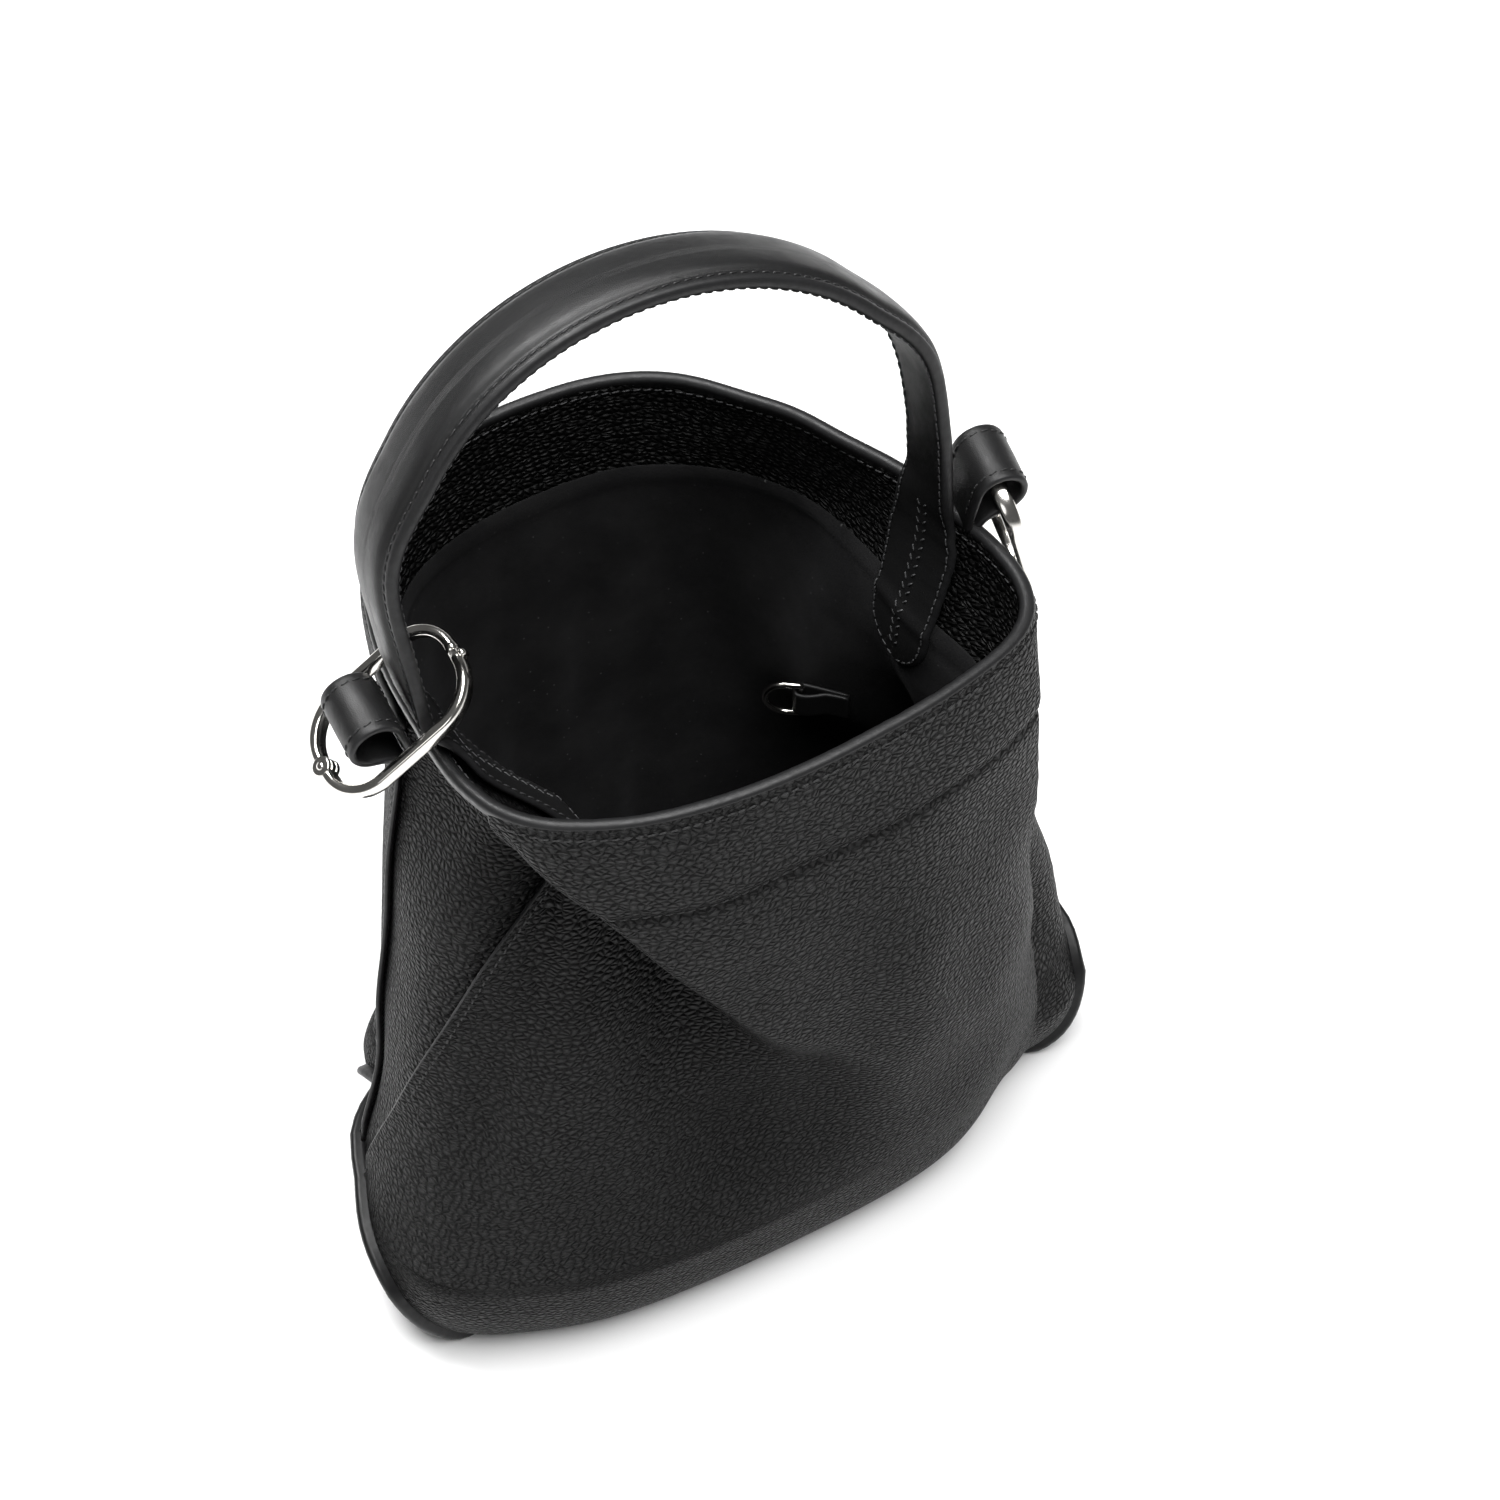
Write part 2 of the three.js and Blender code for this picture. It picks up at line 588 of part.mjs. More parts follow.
// Stiffening board that lies on the leather inside the base.
function boardGeometry() {
  const rim = insideRing(BASE_ROLL_HIGH, BASE_ROLL_DEEP + BOARD_CLEAR, BOARD_COLUMNS);
  const shape = new THREE.Shape(rim.map((point) => new THREE.Vector2(point.x, point.y)));
  const board = new THREE.ExtrudeGeometry(shape, { depth: BOARD, bevelEnabled: false });
  return board.translate(0, 0, LEATHER + GAP);
}

// Suede lining: a bag of its own, from just above the board to the foot of the facing.
function liningGeometry() {
  const floorZ = LEATHER + BOARD + 2 * GAP;
  const levels = [16, 34, 48, 64, 84, 104, 124, 144, 164, 184, 204, FACING_FOOT - 2 * GAP];
  const face = (inset, bottom) => {
    const foot = insideRing(levels[0], inset + LINING_FOOT_TURN).map((point) => point.setZ(bottom));
    return [foot, ...levels.map((level) => insideRing(level, inset))];
  };
  const outer = face(LINING_INSET, floorZ);
  const inner = face(LINING_INSET + LINING, floorZ + LINING);
  return bucket(outer, inner);
}

// Open-topped vessel between two stacks of rings, closed below by two flat floors.
function bucket(outer, inner) {
  const columns = outer[0].length;
  const rows = outer.length;
  const points = [...outer.flat(), ...inner.flat()];
  for (const row of [outer[0], inner[0]]) {
    const sum = row.reduce((total, point) => total.add(point), new THREE.Vector3());
    points.push(sum.divideScalar(row.length));
  }
  const outerCentre = points.length - 2;
  const innerCentre = points.length - 1;
  const outerAt = (r, c) => r * columns + (c % columns);
  const innerAt = (r, c) => (rows + r) * columns + (c % columns);
  const triangles = [];
  const quad = (a, b, c, d) => triangles.push(a, b, c, a, c, d);
  for (let c = 0; c < columns; c++) {
    triangles.push(outerCentre, outerAt(0, c + 1), outerAt(0, c));
    triangles.push(innerCentre, innerAt(0, c), innerAt(0, c + 1));
    for (let r = 0; r < rows - 1; r++) {
      quad(outerAt(r, c), outerAt(r, c + 1), outerAt(r + 1, c + 1), outerAt(r + 1, c));
      quad(innerAt(r, c), innerAt(r + 1, c), innerAt(r + 1, c + 1), innerAt(r, c + 1));
    }
    const last = rows - 1;
    quad(outerAt(last, c), outerAt(last, c + 1), innerAt(last, c + 1), innerAt(last, c));
  }
  return closedGeometry(points, triangles);
}

// Facing: the band of pebbled leather sewn inside the rim.
function facingGeometry() {
  const levels = [FACING_FOOT, FACING_FOOT + 20, RIM_HEIGHT];
  const face = (inset) => levels.map((level) => insideRing(level, inset));
  return ring(face(FACING_INSET), face(FACING_INSET + FACING));
}

// ---------------------------------------------------------------- handle

// Middle of the strap at a fraction of the arch, 0 at the left root and 1 at the right one.
function archPoint(fraction) {
  const turn = fraction * Math.PI;
  const rise = HANDLE_RISE * Math.abs(Math.sin(turn)) ** HANDLE_ROUNDNESS;
  return new THREE.Vector3(
    HANDLE_BASE.x - HANDLE_HALF_SPAN * Math.cos(turn),
    HANDLE_BASE.y + rise * Math.sin(HANDLE_LEAN),
    HANDLE_BASE.z + rise * Math.cos(HANDLE_LEAN),
  );
}

const STRAP_ACROSS = new THREE.Vector3(0, Math.cos(HANDLE_LEAN), -Math.sin(HANDLE_LEAN));
const STRAP_UP = new THREE.Vector3(0, Math.sin(HANDLE_LEAN), Math.cos(HANDLE_LEAN));
const STRAP_THICKNESS = 2 * STRAP_LAYER + STRAP_CORE + 2 * GAP;
const ARCH_STATIONS = 26;
const NECK_STATIONS = 5; // stations over which the arch grows out of the neck
const END_STATIONS = [0.97, 0.86, 0.66, 0.42, 0.2]; // down the round ends, in parts of their radius
const LOOK_AHEAD = 0.002; // fraction of the arch over which its direction is taken
// Fraction of the arch at which it crosses the pivot line.
const ARCH_START = Math.asin((PIVOT_RISE / HANDLE_RISE) ** (1 / HANDLE_ROUNDNESS)) / Math.PI;
const PIVOT = HANDLE_BASE.clone().addScaledVector(STRAP_UP, PIVOT_RISE);
const NECK_RADIUS = NECK_WIDTH / 2;

// Stations of the strap's round end on one side, from its tip up.
function endStations(side) {
  const normal = new THREE.Vector3(side ? 1 : -1, 0, 0);
  return END_STATIONS.map((down) => {
    const centre = PIVOT.clone().setX(NECK_X[side]).addScaledVector(STRAP_UP, -down * NECK_RADIUS);
    return { centre, half: NECK_RADIUS * Math.sqrt(1 - down * down), normal };
  });
}

// Station k of the arch, which grows out of the neck at both ends.
function archStation(k) {
  const fraction = ARCH_START + ((1 - 2 * ARCH_START) * k) / ARCH_STATIONS;
  const ahead = archPoint(fraction + LOOK_AHEAD).sub(archPoint(fraction - LOOK_AHEAD));
  const grown = THREE.MathUtils.smoothstep(Math.min(k, ARCH_STATIONS - k), 0, NECK_STATIONS);
  const centre = archPoint(fraction);
  centre.x = THREE.MathUtils.lerp(NECK_X[k > ARCH_STATIONS / 2 ? 1 : 0], centre.x, grown);
  const half = THREE.MathUtils.lerp(NECK_WIDTH, STRAP_WIDTH, grown) / 2;
  return { centre, half, normal: ahead.cross(STRAP_ACROSS).normalize() };
}

// Stations of the moving strap: round ends that turn about the pivot line, and the arch between.
function strapStations() {
  const arch = Array.from({ length: ARCH_STATIONS + 1 }, (_, k) => archStation(k));
  return [...endStations(0), ...arch, ...endStations(1).reverse()];
}

// One layer of the strap, between two distances from its middle surface. inset narrows it.
function strapLayer(from, to, inset) {
  const face = (offset) =>
    strapStations().map(({ centre, half, normal }) =>
      [-1, 0, 1].map((side) =>
        centre
          .clone()
          .addScaledVector(STRAP_ACROSS, side * Math.max(half - inset, LEAST_HALF_WIDTH))
          .addScaledVector(normal, offset),
      ),
    );
  return slab(face(to), face(from));
}

// Top edge of the fixed neck, measured down from the pivot line: a cup round the turning end, cut
// back beside it so that the strap can lean over.
function neckTop(across) {
  const radius = NECK_RADIUS + PIVOT_GAP;
  const away = Math.abs(across);
  if (away < radius * Math.cos(PIVOT_SWEEP)) return -Math.sqrt(radius * radius - away * away);
  return (away * Math.cos(PIVOT_SWEEP) - radius) / Math.sin(PIVOT_SWEEP);
}

// Handle root: the strap's fixed end. It comes down through the rim and ends in a round-tipped tab
// sewn to the inside wall.
function rootGeometry(side) {
  const direction = side === 0 ? -1 : 1;
  const columns = 8;
  const rows = 8;
  const x = NECK_X[side];
  const lean = LEG_LEAN[side];
  const legAcross = new THREE.Vector3(0, Math.cos(lean), -Math.sin(lean));
  const legUp = new THREE.Vector3(0, Math.sin(lean), Math.cos(lean));
  const tabInset = LINING_INSET + LINING + TAB_OFF;
  const outer = [];
  const inner = [];
  for (let row = 0; row <= rows; row++) {
    const outerRow = [];
    const innerRow = [];
    for (let column = 0; column <= columns; column++) {
      const part = column / columns - 0.5;
      const tip = -TAB_DEPTH + (TAB_WIDTH / 2) * (1 - Math.sqrt(1 - (2 * part * TAB_FULLNESS) ** 2));
      const top = PIVOT_RISE + neckTop(NECK_WIDTH * part);
      const along = THREE.MathUtils.lerp(top, tip, row / rows);
      const widened = THREE.MathUtils.smoothstep(-along, ...TAB_WIDENS);
      const across = part * THREE.MathUtils.lerp(NECK_WIDTH, TAB_WIDTH, widened);
      const free = PIVOT.clone().setX(x);
      free.addScaledVector(legUp, along - PIVOT_RISE).addScaledVector(legAcross, across);
      const inside = insideWall(side, free, tabInset);
      const sink = THREE.MathUtils.smoothstep(RIM_HEIGHT + 12 - free.z, 0, 14);
      const thick = THREE.MathUtils.lerp(STRAP_THICKNESS, TAB_THICKNESS, sink);
      const outerX = THREE.MathUtils.lerp(x + direction * (STRAP_THICKNESS / 2), inside.x, sink);
      outerRow.push(free.clone().setX(outerX));
      innerRow.push(free.clone().setX(outerX - direction * thick));
    }
    outer.push(outerRow);
    inner.push(innerRow);
  }
  return slab(outer, inner);
}

// Where a horizontal line through a point meets the inside of the wall.
function insideWall(side, point, inset) {
  const level = Math.min(point.z, RIM_HEIGHT);
  const centre = side === 0 ? LEFT : RIGHT;
  let best = insidePoint(centre, level, inset);
  for (let angle = centre - 60; angle <= centre + 60; angle += 0.5) {
    const candidate = insidePoint(angle, level, inset);
    if (Math.abs(candidate.y - point.y) < Math.abs(best.y - point.y)) best = candidate;
  }
  return best;
}

// ---------------------------------------------------------------- rolled loops

const LOOP_CENTRE_U = LOOP_OUTER + LOOP_PINCH_OUT;
const LOOP_CENTRE_UP = LOOP_OUTER + LOOP_PINCH_UP;

// Group whose local X points outwards from the strap and whose local Z is up, at a loop's foot.
function loopFrame(side) {
  const frame = new THREE.Group();
  const face = STRAP_THICKNESS / 2 + LOOP_OFF;
  if (side === 0) {
    frame.position.set(NECK_X[0] - face, LOOP_Y[0], LOOP_FOOT_Z);
    frame.rotation.z = Math.PI;
  } else {
    const shift = (LOOP_WIDTH / 2) * Math.sin(LOOP_YAW_RIGHT);
    frame.position.set(NECK_X[1] + face + shift, LOOP_Y[1], LOOP_FOOT_Z);
    frame.rotation.z = -LOOP_YAW_RIGHT;
  }
  return frame;
}

// Strip rolled into a teardrop tunnel along Y, its two ends pinched together at the foot.
function loopGeometry() {
  const outline = [
    new THREE.Vector2(0, 0),
    ...arc(LOOP_CENTRE_U, LOOP_CENTRE_UP, LOOP_OUTER, degrees(165), degrees(-75), 20),
    new THREE.Vector2(2 * LOOP_LAYER, 0),
  ];
  const tunnel = circle(LOOP_CENTRE_U, LOOP_CENTRE_UP, LOOP_OUTER - LOOP_LAYER, 22);
  return plate(outline, LOOP_WIDTH, tunnel).rotateX(Math.PI / 2);
}

// ---------------------------------------------------------------- openable oval links

function toSolid(geometry) {
  const bare = geometry.clone();
  bare.deleteAttribute('normal');
  bare.deleteAttribute('uv');
  const merged = mergeVertices(bare, 1e-4);
  return new wasm.Manifold(
    new wasm.Mesh({
      numProp: 3,
      vertProperties: new Float32Array(merged.attributes.position.array),
      triVerts: new Uint32Array(merged.index.array),
    }),
  );
}

function toGeometry(solid) {
  const mesh = solid.getMesh();
  const geometry = new THREE.BufferGeometry();
  geometry.setAttribute('position', new THREE.BufferAttribute(new Float32Array(mesh.vertProperties), 3));
  geometry.setIndex(new THREE.BufferAttribute(new Uint32Array(mesh.triVerts), 1));
  return geometry;
}

const LINK_HINGE_X = -(LINK_LENGTH - LINK_BAND) / 2;

// Upright disc round the hinge pin, between two heights of the band.
function hingeDisc(radius, from, to) {
  const disc = new THREE.CylinderGeometry(radius, radius, to - from, 20);
  disc.rotateX(Math.PI / 2).translate(LINK_HINGE_X, 0, (from + to) / 2);
  return toSolid(disc);
}

// Half of the oval band, on one side of the long axis.
function halfBand(side) {
  const [halfLength, halfWidth] = [LINK_LENGTH / 2, LINK_WIDTH / 2];
  const inner = LINK_CORNER - LINK_BAND;
  const [cornerX, cornerY] = [halfLength - LINK_CORNER, halfWidth - LINK_CORNER];
  const start = GAP / 2;
  const outline = [
    new THREE.Vector2(halfLength, start),
    ...arc(cornerX, cornerY, LINK_CORNER, 0, Math.PI / 2, 7),
    ...arc(-cornerX, cornerY, LINK_CORNER, Math.PI / 2, Math.PI, 7),
    new THREE.Vector2(-halfLength, start),
    new THREE.Vector2(-halfLength + LINK_BAND, start),
    ...arc(-cornerX, cornerY, inner, Math.PI, Math.PI / 2, 7),
    ...arc(cornerX, cornerY, inner, Math.PI / 2, 0, 7),
    new THREE.Vector2(halfLength - LINK_BAND, start),
  ];
  const band = plate(outline, LINK_HEIGHT);
  return toSolid(side > 0 ? band : band.rotateX(Math.PI));
}

const LINK_TOP = LINK_HEIGHT / 2;
const LINK_TONGUE = LINK_HEIGHT * 0.18; // half height of the eye between the gate's two cheeks

// Fixed half: its eye is a tongue between the gate's cheeks.
function linkFrameGeometry() {
  const clear = LINK_EYE + GAP;
  return toGeometry(
    halfBand(1)
      .add(hingeDisc(LINK_EYE, -LINK_TONGUE, LINK_TONGUE))
      .subtract(hingeDisc(clear, LINK_TONGUE, LINK_TOP + 1))
      .subtract(hingeDisc(clear, -LINK_TOP - 1, -LINK_TONGUE))
      .subtract(hingeDisc(LINK_PIN + GAP, -LINK_TOP, LINK_TOP)),
  );
}

// Gate: the half that swings open, with a cheek above and below the frame's tongue and a small nub
// for the thumb at its free end.
function linkGateGeometry() {
  const nub = new THREE.CylinderGeometry(LINK_NUB, LINK_NUB, LINK_HEIGHT * 0.6, 12);
  nub.rotateX(Math.PI / 2).translate(LINK_LENGTH / 2 + LINK_NUB_PROUD, -1.5 * LINK_NUB, 0);
  return toGeometry(
    halfBand(-1)
      .add(hingeDisc(LINK_EYE, LINK_TONGUE + GAP, LINK_TOP))
      .add(hingeDisc(LINK_EYE, -LINK_TOP, -LINK_TONGUE - GAP))
      .subtract(hingeDisc(LINK_EYE + GAP, -LINK_TONGUE - GAP, LINK_TONGUE + GAP))
      .subtract(hingeDisc(LINK_PIN + GAP, -LINK_TOP - 1, LINK_TOP + 1))
      .add(toSolid(nub)),
  );
}

function linkPinGeometry() {
  const pin = new THREE.CylinderGeometry(LINK_PIN, LINK_PIN, LINK_HEIGHT + 0.6, 16);
  return pin.rotateX(Math.PI / 2).translate(LINK_HINGE_X, 0, 0);
}

// ---------------------------------------------------------------- key ring on the lining

function dringGeometry() {
  const radius = DRING_WIDTH / 2;
  const wire = DRING_WIRE / 2;
  const centre = DRING_HEIGHT - wire - radius;
  const outline = [
    new THREE.Vector2(-wire, -radius),
    ...arc(centre, 0, radius, -Math.PI / 2, Math.PI / 2, 14),
    new THREE.Vector2(-wire, radius),
  ];
  const inner = radius - DRING_WIRE;
  const hole = [
    new THREE.Vector2(wire, inner),
    ...arc(centre, 0, inner, Math.PI / 2, -Math.PI / 2, 14),
    new THREE.Vector2(wire, -inner),
  ];
  return plate(outline, DRING_WIRE, hole);
}

// Strip folded round the ring's bar, its two layers sewn to the lining at the far end.
function dringTabGeometry() {
  const mouth = Math.asin(DRING_TAB_LAYER / DRING_TAB_ROLL);
  const outline = [
    new THREE.Vector2(-DRING_REACH, DRING_TAB_LAYER),
    new THREE.Vector2(-DRING_REACH, -DRING_TAB_LAYER),
    ...arc(0, 0, DRING_TAB_ROLL, Math.PI + mouth, 3 * Math.PI - mouth, 16),
  ];
  const bore = circle(0, 0, DRING_TAB_ROLL - DRING_TAB_LAYER, 14);
  return plate(outline, DRING_TAB_WIDTH, bore).rotateX(Math.PI / 2);
}

// ---------------------------------------------------------------- assembly

const bag = new THREE.Group();

function add(name, geometry, look, parent = bag) {
  const mesh = new THREE.Mesh(geometry, look);
  mesh.name = name;
  parent.add(mesh);
  return mesh;
}

add('front_panel', panelGeometry(true), PEBBLED);
add('back_panel', panelGeometry(false), PEBBLED);
add('gusset_left', gussetGeometry(LEFT), PEBBLED);
add('gusset_right', gussetGeometry(RIGHT), PEBBLED);
add('end_cap_left', capGeometry(LEFT), PEBBLED);
add('end_cap_right', capGeometry(RIGHT), PEBBLED);
add('end_welt_left', weltGeometry(LEFT), EDGE_PAINT);
add('end_welt_right', weltGeometry(RIGHT), EDGE_PAINT);
add('base_board', boardGeometry(), BOARD_GREY);
add('lining', liningGeometry(), SUEDE);
add('rim_facing', facingGeometry(), PEBBLED);

add('handle_root_left', rootGeometry(0), SMOOTH);
add('handle_root_right', rootGeometry(1), SMOOTH);
const coreHalf = STRAP_CORE / 2;
add('handle_core', strapLayer(-coreHalf, coreHalf, 1.5), BOARD_GREY);
add('handle_outer', strapLayer(coreHalf + GAP, coreHalf + GAP + STRAP_LAYER, 0), SMOOTH);
add('handle_inner', strapLayer(-coreHalf - GAP - STRAP_LAYER, -coreHalf - GAP, 0), SMOOTH);

const loopFrames = [loopFrame(0), loopFrame(1)];
bag.add(...loopFrames);
['loop_left', 'loop_right'].forEach((name, side) => {
  add(name, loopGeometry(), SMOOTH, loopFrames[side]);
});

function addLink(side, frame) {
  add(`link_${side}_frame`, linkFrameGeometry(), SILVER, frame);
  add(`link_${side}_gate`, linkGateGeometry(), SILVER, frame);
  add(`link_${side}_pin`, linkPinGeometry(), SILVER, frame);
}

// The left link lies tilted round the strap's neck and the rolled loop, its hinge end outboard.
const leftLink = new THREE.Group();
leftLink.position.set(...LINK_LEFT_MIDDLE);
leftLink.rotation.y = -LINK_LEFT_TILT;
bag.add(leftLink);
addLink('left', leftLink);

// The right link hangs from the tunnel of the right loop, its hinge end down.
const rightLink = new THREE.Group();
const hang = new THREE.Group();
rightLink.position.set(LOOP_CENTRE_U, 0, LOOP_CENTRE_UP);
rightLink.rotation.y = -LINK_RIGHT_HANG;
hang.position.z = -(LINK_LENGTH - LINK_BAND) / 2;
hang.rotation.y = -Math.PI / 2;
loopFrames[1].add(rightLink);
rightLink.add(hang);
addLink('right', hang);

// The tab lies along the lining: its frame has X along the wall and Z into the bag.
const seat = insidePoint(DRING_TURN, DRING_LEVEL, LINING_INSET + LINING);
const ahead = insidePoint(DRING_TURN + 8, DRING_LEVEL, LINING_INSET + LINING);
const along = ahead.sub(seat).normalize();
const inward = new THREE.Vector3(0, 0, 1).cross(along);
const keyFrame = new THREE.Group();
keyFrame.setRotationFromMatrix(new THREE.Matrix4().makeBasis(along, new THREE.Vector3(0, 0, -1), inward));
keyFrame.position.copy(seat).addScaledVector(along, DRING_REACH).addScaledVector(inward, DRING_OFF);
bag.add(keyFrame);
add('d_ring_tab', dringTabGeometry(), SMOOTH, keyFrame);
const swung = new THREE.Group();
swung.rotation.y = -DRING_OPEN;
keyFrame.add(swung);
add('d_ring', dringGeometry(), SILVER, swung);

export default bag;
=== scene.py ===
"""Looks of a slouching pebbled-leather bucket handbag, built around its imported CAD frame.

Shapes are worked out in millimetres and become metres when a mesh is made. Materials, camera and
lights are in metres.
"""

import json
import math

import bpy
import numpy as np
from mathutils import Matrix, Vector


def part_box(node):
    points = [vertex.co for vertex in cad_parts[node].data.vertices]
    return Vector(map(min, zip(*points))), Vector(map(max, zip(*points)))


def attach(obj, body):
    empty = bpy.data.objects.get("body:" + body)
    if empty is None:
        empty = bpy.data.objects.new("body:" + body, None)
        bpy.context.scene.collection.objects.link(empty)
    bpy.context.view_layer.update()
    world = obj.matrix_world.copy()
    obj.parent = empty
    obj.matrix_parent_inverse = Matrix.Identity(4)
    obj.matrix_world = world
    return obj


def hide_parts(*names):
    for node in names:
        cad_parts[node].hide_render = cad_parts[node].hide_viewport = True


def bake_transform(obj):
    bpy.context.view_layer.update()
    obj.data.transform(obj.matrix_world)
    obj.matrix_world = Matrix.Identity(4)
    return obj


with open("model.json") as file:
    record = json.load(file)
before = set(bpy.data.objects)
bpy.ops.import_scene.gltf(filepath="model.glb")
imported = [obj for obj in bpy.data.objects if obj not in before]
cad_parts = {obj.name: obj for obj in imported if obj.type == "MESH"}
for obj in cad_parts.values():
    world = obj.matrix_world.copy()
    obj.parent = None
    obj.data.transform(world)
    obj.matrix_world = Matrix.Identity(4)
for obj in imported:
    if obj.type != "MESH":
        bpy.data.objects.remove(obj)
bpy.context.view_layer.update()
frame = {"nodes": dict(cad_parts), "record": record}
MM = 0.001


def cad(node):
    """Lowest and highest corner of a CAD node, in millimetres."""
    low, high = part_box(node)
    return np.array(low) / MM, np.array(high) / MM


def joint(name):
    """Place of a joint, in millimetres, and the direction of its axis."""
    found = next(j for j in frame["record"]["behaviour"]["joints"] if j["name"] == name)
    return np.array(found["pos_m"]) / MM, np.array(found["axis"], float)


# ---------------------------------------------------------------- the slouched wall

RIM = cad("front_panel")[1][2]
BASE_ROLL_HIGH, BASE_ROLL_DEEP = 34.0, 16.0  # the wall turns under the base along this ellipse
# height, middle of the length, half length, depth in front, depth behind, squareness
SECTIONS = np.array([
    (0, -1, 133, 82, 72, 3.1),
    (48, -1, 135, 82, 73, 2.8),
    (130, 1, 111, 82, 82, 2.6),
    (200, 4, 98, 72, 90, 2.5),
    (RIM, 3, 90, 61, 97, 2.3),
])
# direction, height, spread, rise, how far out
SWELLS = [
    (50, 266, 24, 90, -12), (128, 250, 24, 80, 7), (322, 262, 22, 70, 7), (36, 150, 24, 60, -15),
    (152, 140, 30, 60, -9), (183, 222, 20, 34, -22), (148, 76, 34, 36, -19), (322, 78, 15, 42, -9),
    (250, 45, 40, 26, 2), (330, 266, 16, 60, 4), (330, 205, 12, 40, 4), (304, 6, 14, 40, -14),
    (4, 208, 24, 42, -19), (22, 266, 18, 40, -9), (142, 266, 22, 70, -2.5), (163, 44, 18, 46, -15),
    (150, 22, 12, 32, -4), (200, 16, 26, 40, 7), (329, 4, 13, 34, 12), (356, 44, 15, 42, -8),
    (266, 92, 8, 24, -7), (274, 150, 6, 40, -3), (284, 130, 8, 50, 2.5),
]


def run_length(path):
    """Distance travelled at each point of a path."""
    return np.concatenate([[0], np.cumsum(np.linalg.norm(np.diff(path, axis=0), axis=1))])


def bell(x):
    """1 in the middle, falling to almost nothing at 2."""
    return np.exp(-x * x)


def smooth(x, low, high):
    """0 up to low, 1 from high on, with a soft rise between them."""
    t = np.clip((x - low) / (high - low), 0, 1)
    return t * t * (3 - 2 * t)


def apart(a, b):
    """Angle from b to a, between -180 and 180 degrees."""
    return (a - b + 540) % 360 - 180


def section(level):
    """Section sizes at a height, by cubic interpolation of SECTIONS."""
    heights, sizes = SECTIONS[:, 0], SECTIONS[:, 1:]
    slopes = np.gradient(sizes, heights, axis=0)
    i = np.clip(np.searchsorted(heights, level, side="right") - 1, 0, len(heights) - 2)
    step = (heights[i + 1] - heights[i])[..., None]
    t = (level - heights[i])[..., None] / step
    return (
        (2 * t**3 - 3 * t**2 + 1) * sizes[i] + (t**3 - 2 * t**2 + t) * step * slopes[i]
        + (3 * t**2 - 2 * t**3) * sizes[i + 1] + (t**3 - t**2) * step * slopes[i + 1]
    )


def pocket(turn, level):
    """Hollow under the long diagonal fold that falls from the left handle root."""
    deepest, floor = 42, 46
    ridge = RIM - 0.0909 * np.clip(turn - 200, 0, None) ** 1.7
    slope = 26 + 40 * (1 - smooth(turn, 215, 250))
    below = smooth(ridge - level, -4, slope)
    top = np.maximum(ridge - 26, 76)
    lower = np.clip((level - floor) / (top - floor), 0, 1) ** 0.9
    ends = smooth(turn, 178, 210) * (1 - smooth(turn, 252, 280))
    return deepest * below * lower * ends


def corner(turn, level):
    """Hollow behind the front right corner, where the right gusset has folded in."""
    start = np.interp(level, [0, 80, RIM], [298, 320, 322])
    depth = np.interp(level, [0, 40, 90, 200, 262], [0, 4, 17, 13, 0])
    return depth * smooth(turn, start, start + 9) * (1 - smooth(turn, 331, 348))


def ripples(turn, level):
    """Shallow unevenness of soft leather."""
    a, z = np.radians(turn), level / 26.0
    wave = 0.55 * np.sin(5 * a + 1.3 * z) + 0.4 * np.sin(9 * a - 0.9 * z + 1.1)
    wave += 0.35 * np.sin(14 * a + 2.1 * z + 2.0) + 0.25 * np.sin(3 * a - 3.1 * z)
    return wave * smooth(level, 8, 60) * (1 - 0.7 * smooth(level, 235, RIM))


FACING_FOOT = cad("rim_facing")[0][2]
FACING_SEAM = FACING_FOOT + 2.8  # the facing is stitched to the outside leather at this height


def pressed_seam(level):
    """The line of stitches round the foot of the facing pulls the leather in."""
    doubled = 0.5 * smooth(level, FACING_SEAM, FACING_SEAM + 5) * (1 - smooth(level, RIM - 12, RIM))
    return doubled - 1.0 * bell((level - FACING_SEAM) / 1.6)


TURNS = np.arange(0, 360, 0.5)
LEVELS = np.arange(0, RIM + 0.5, 1.0)


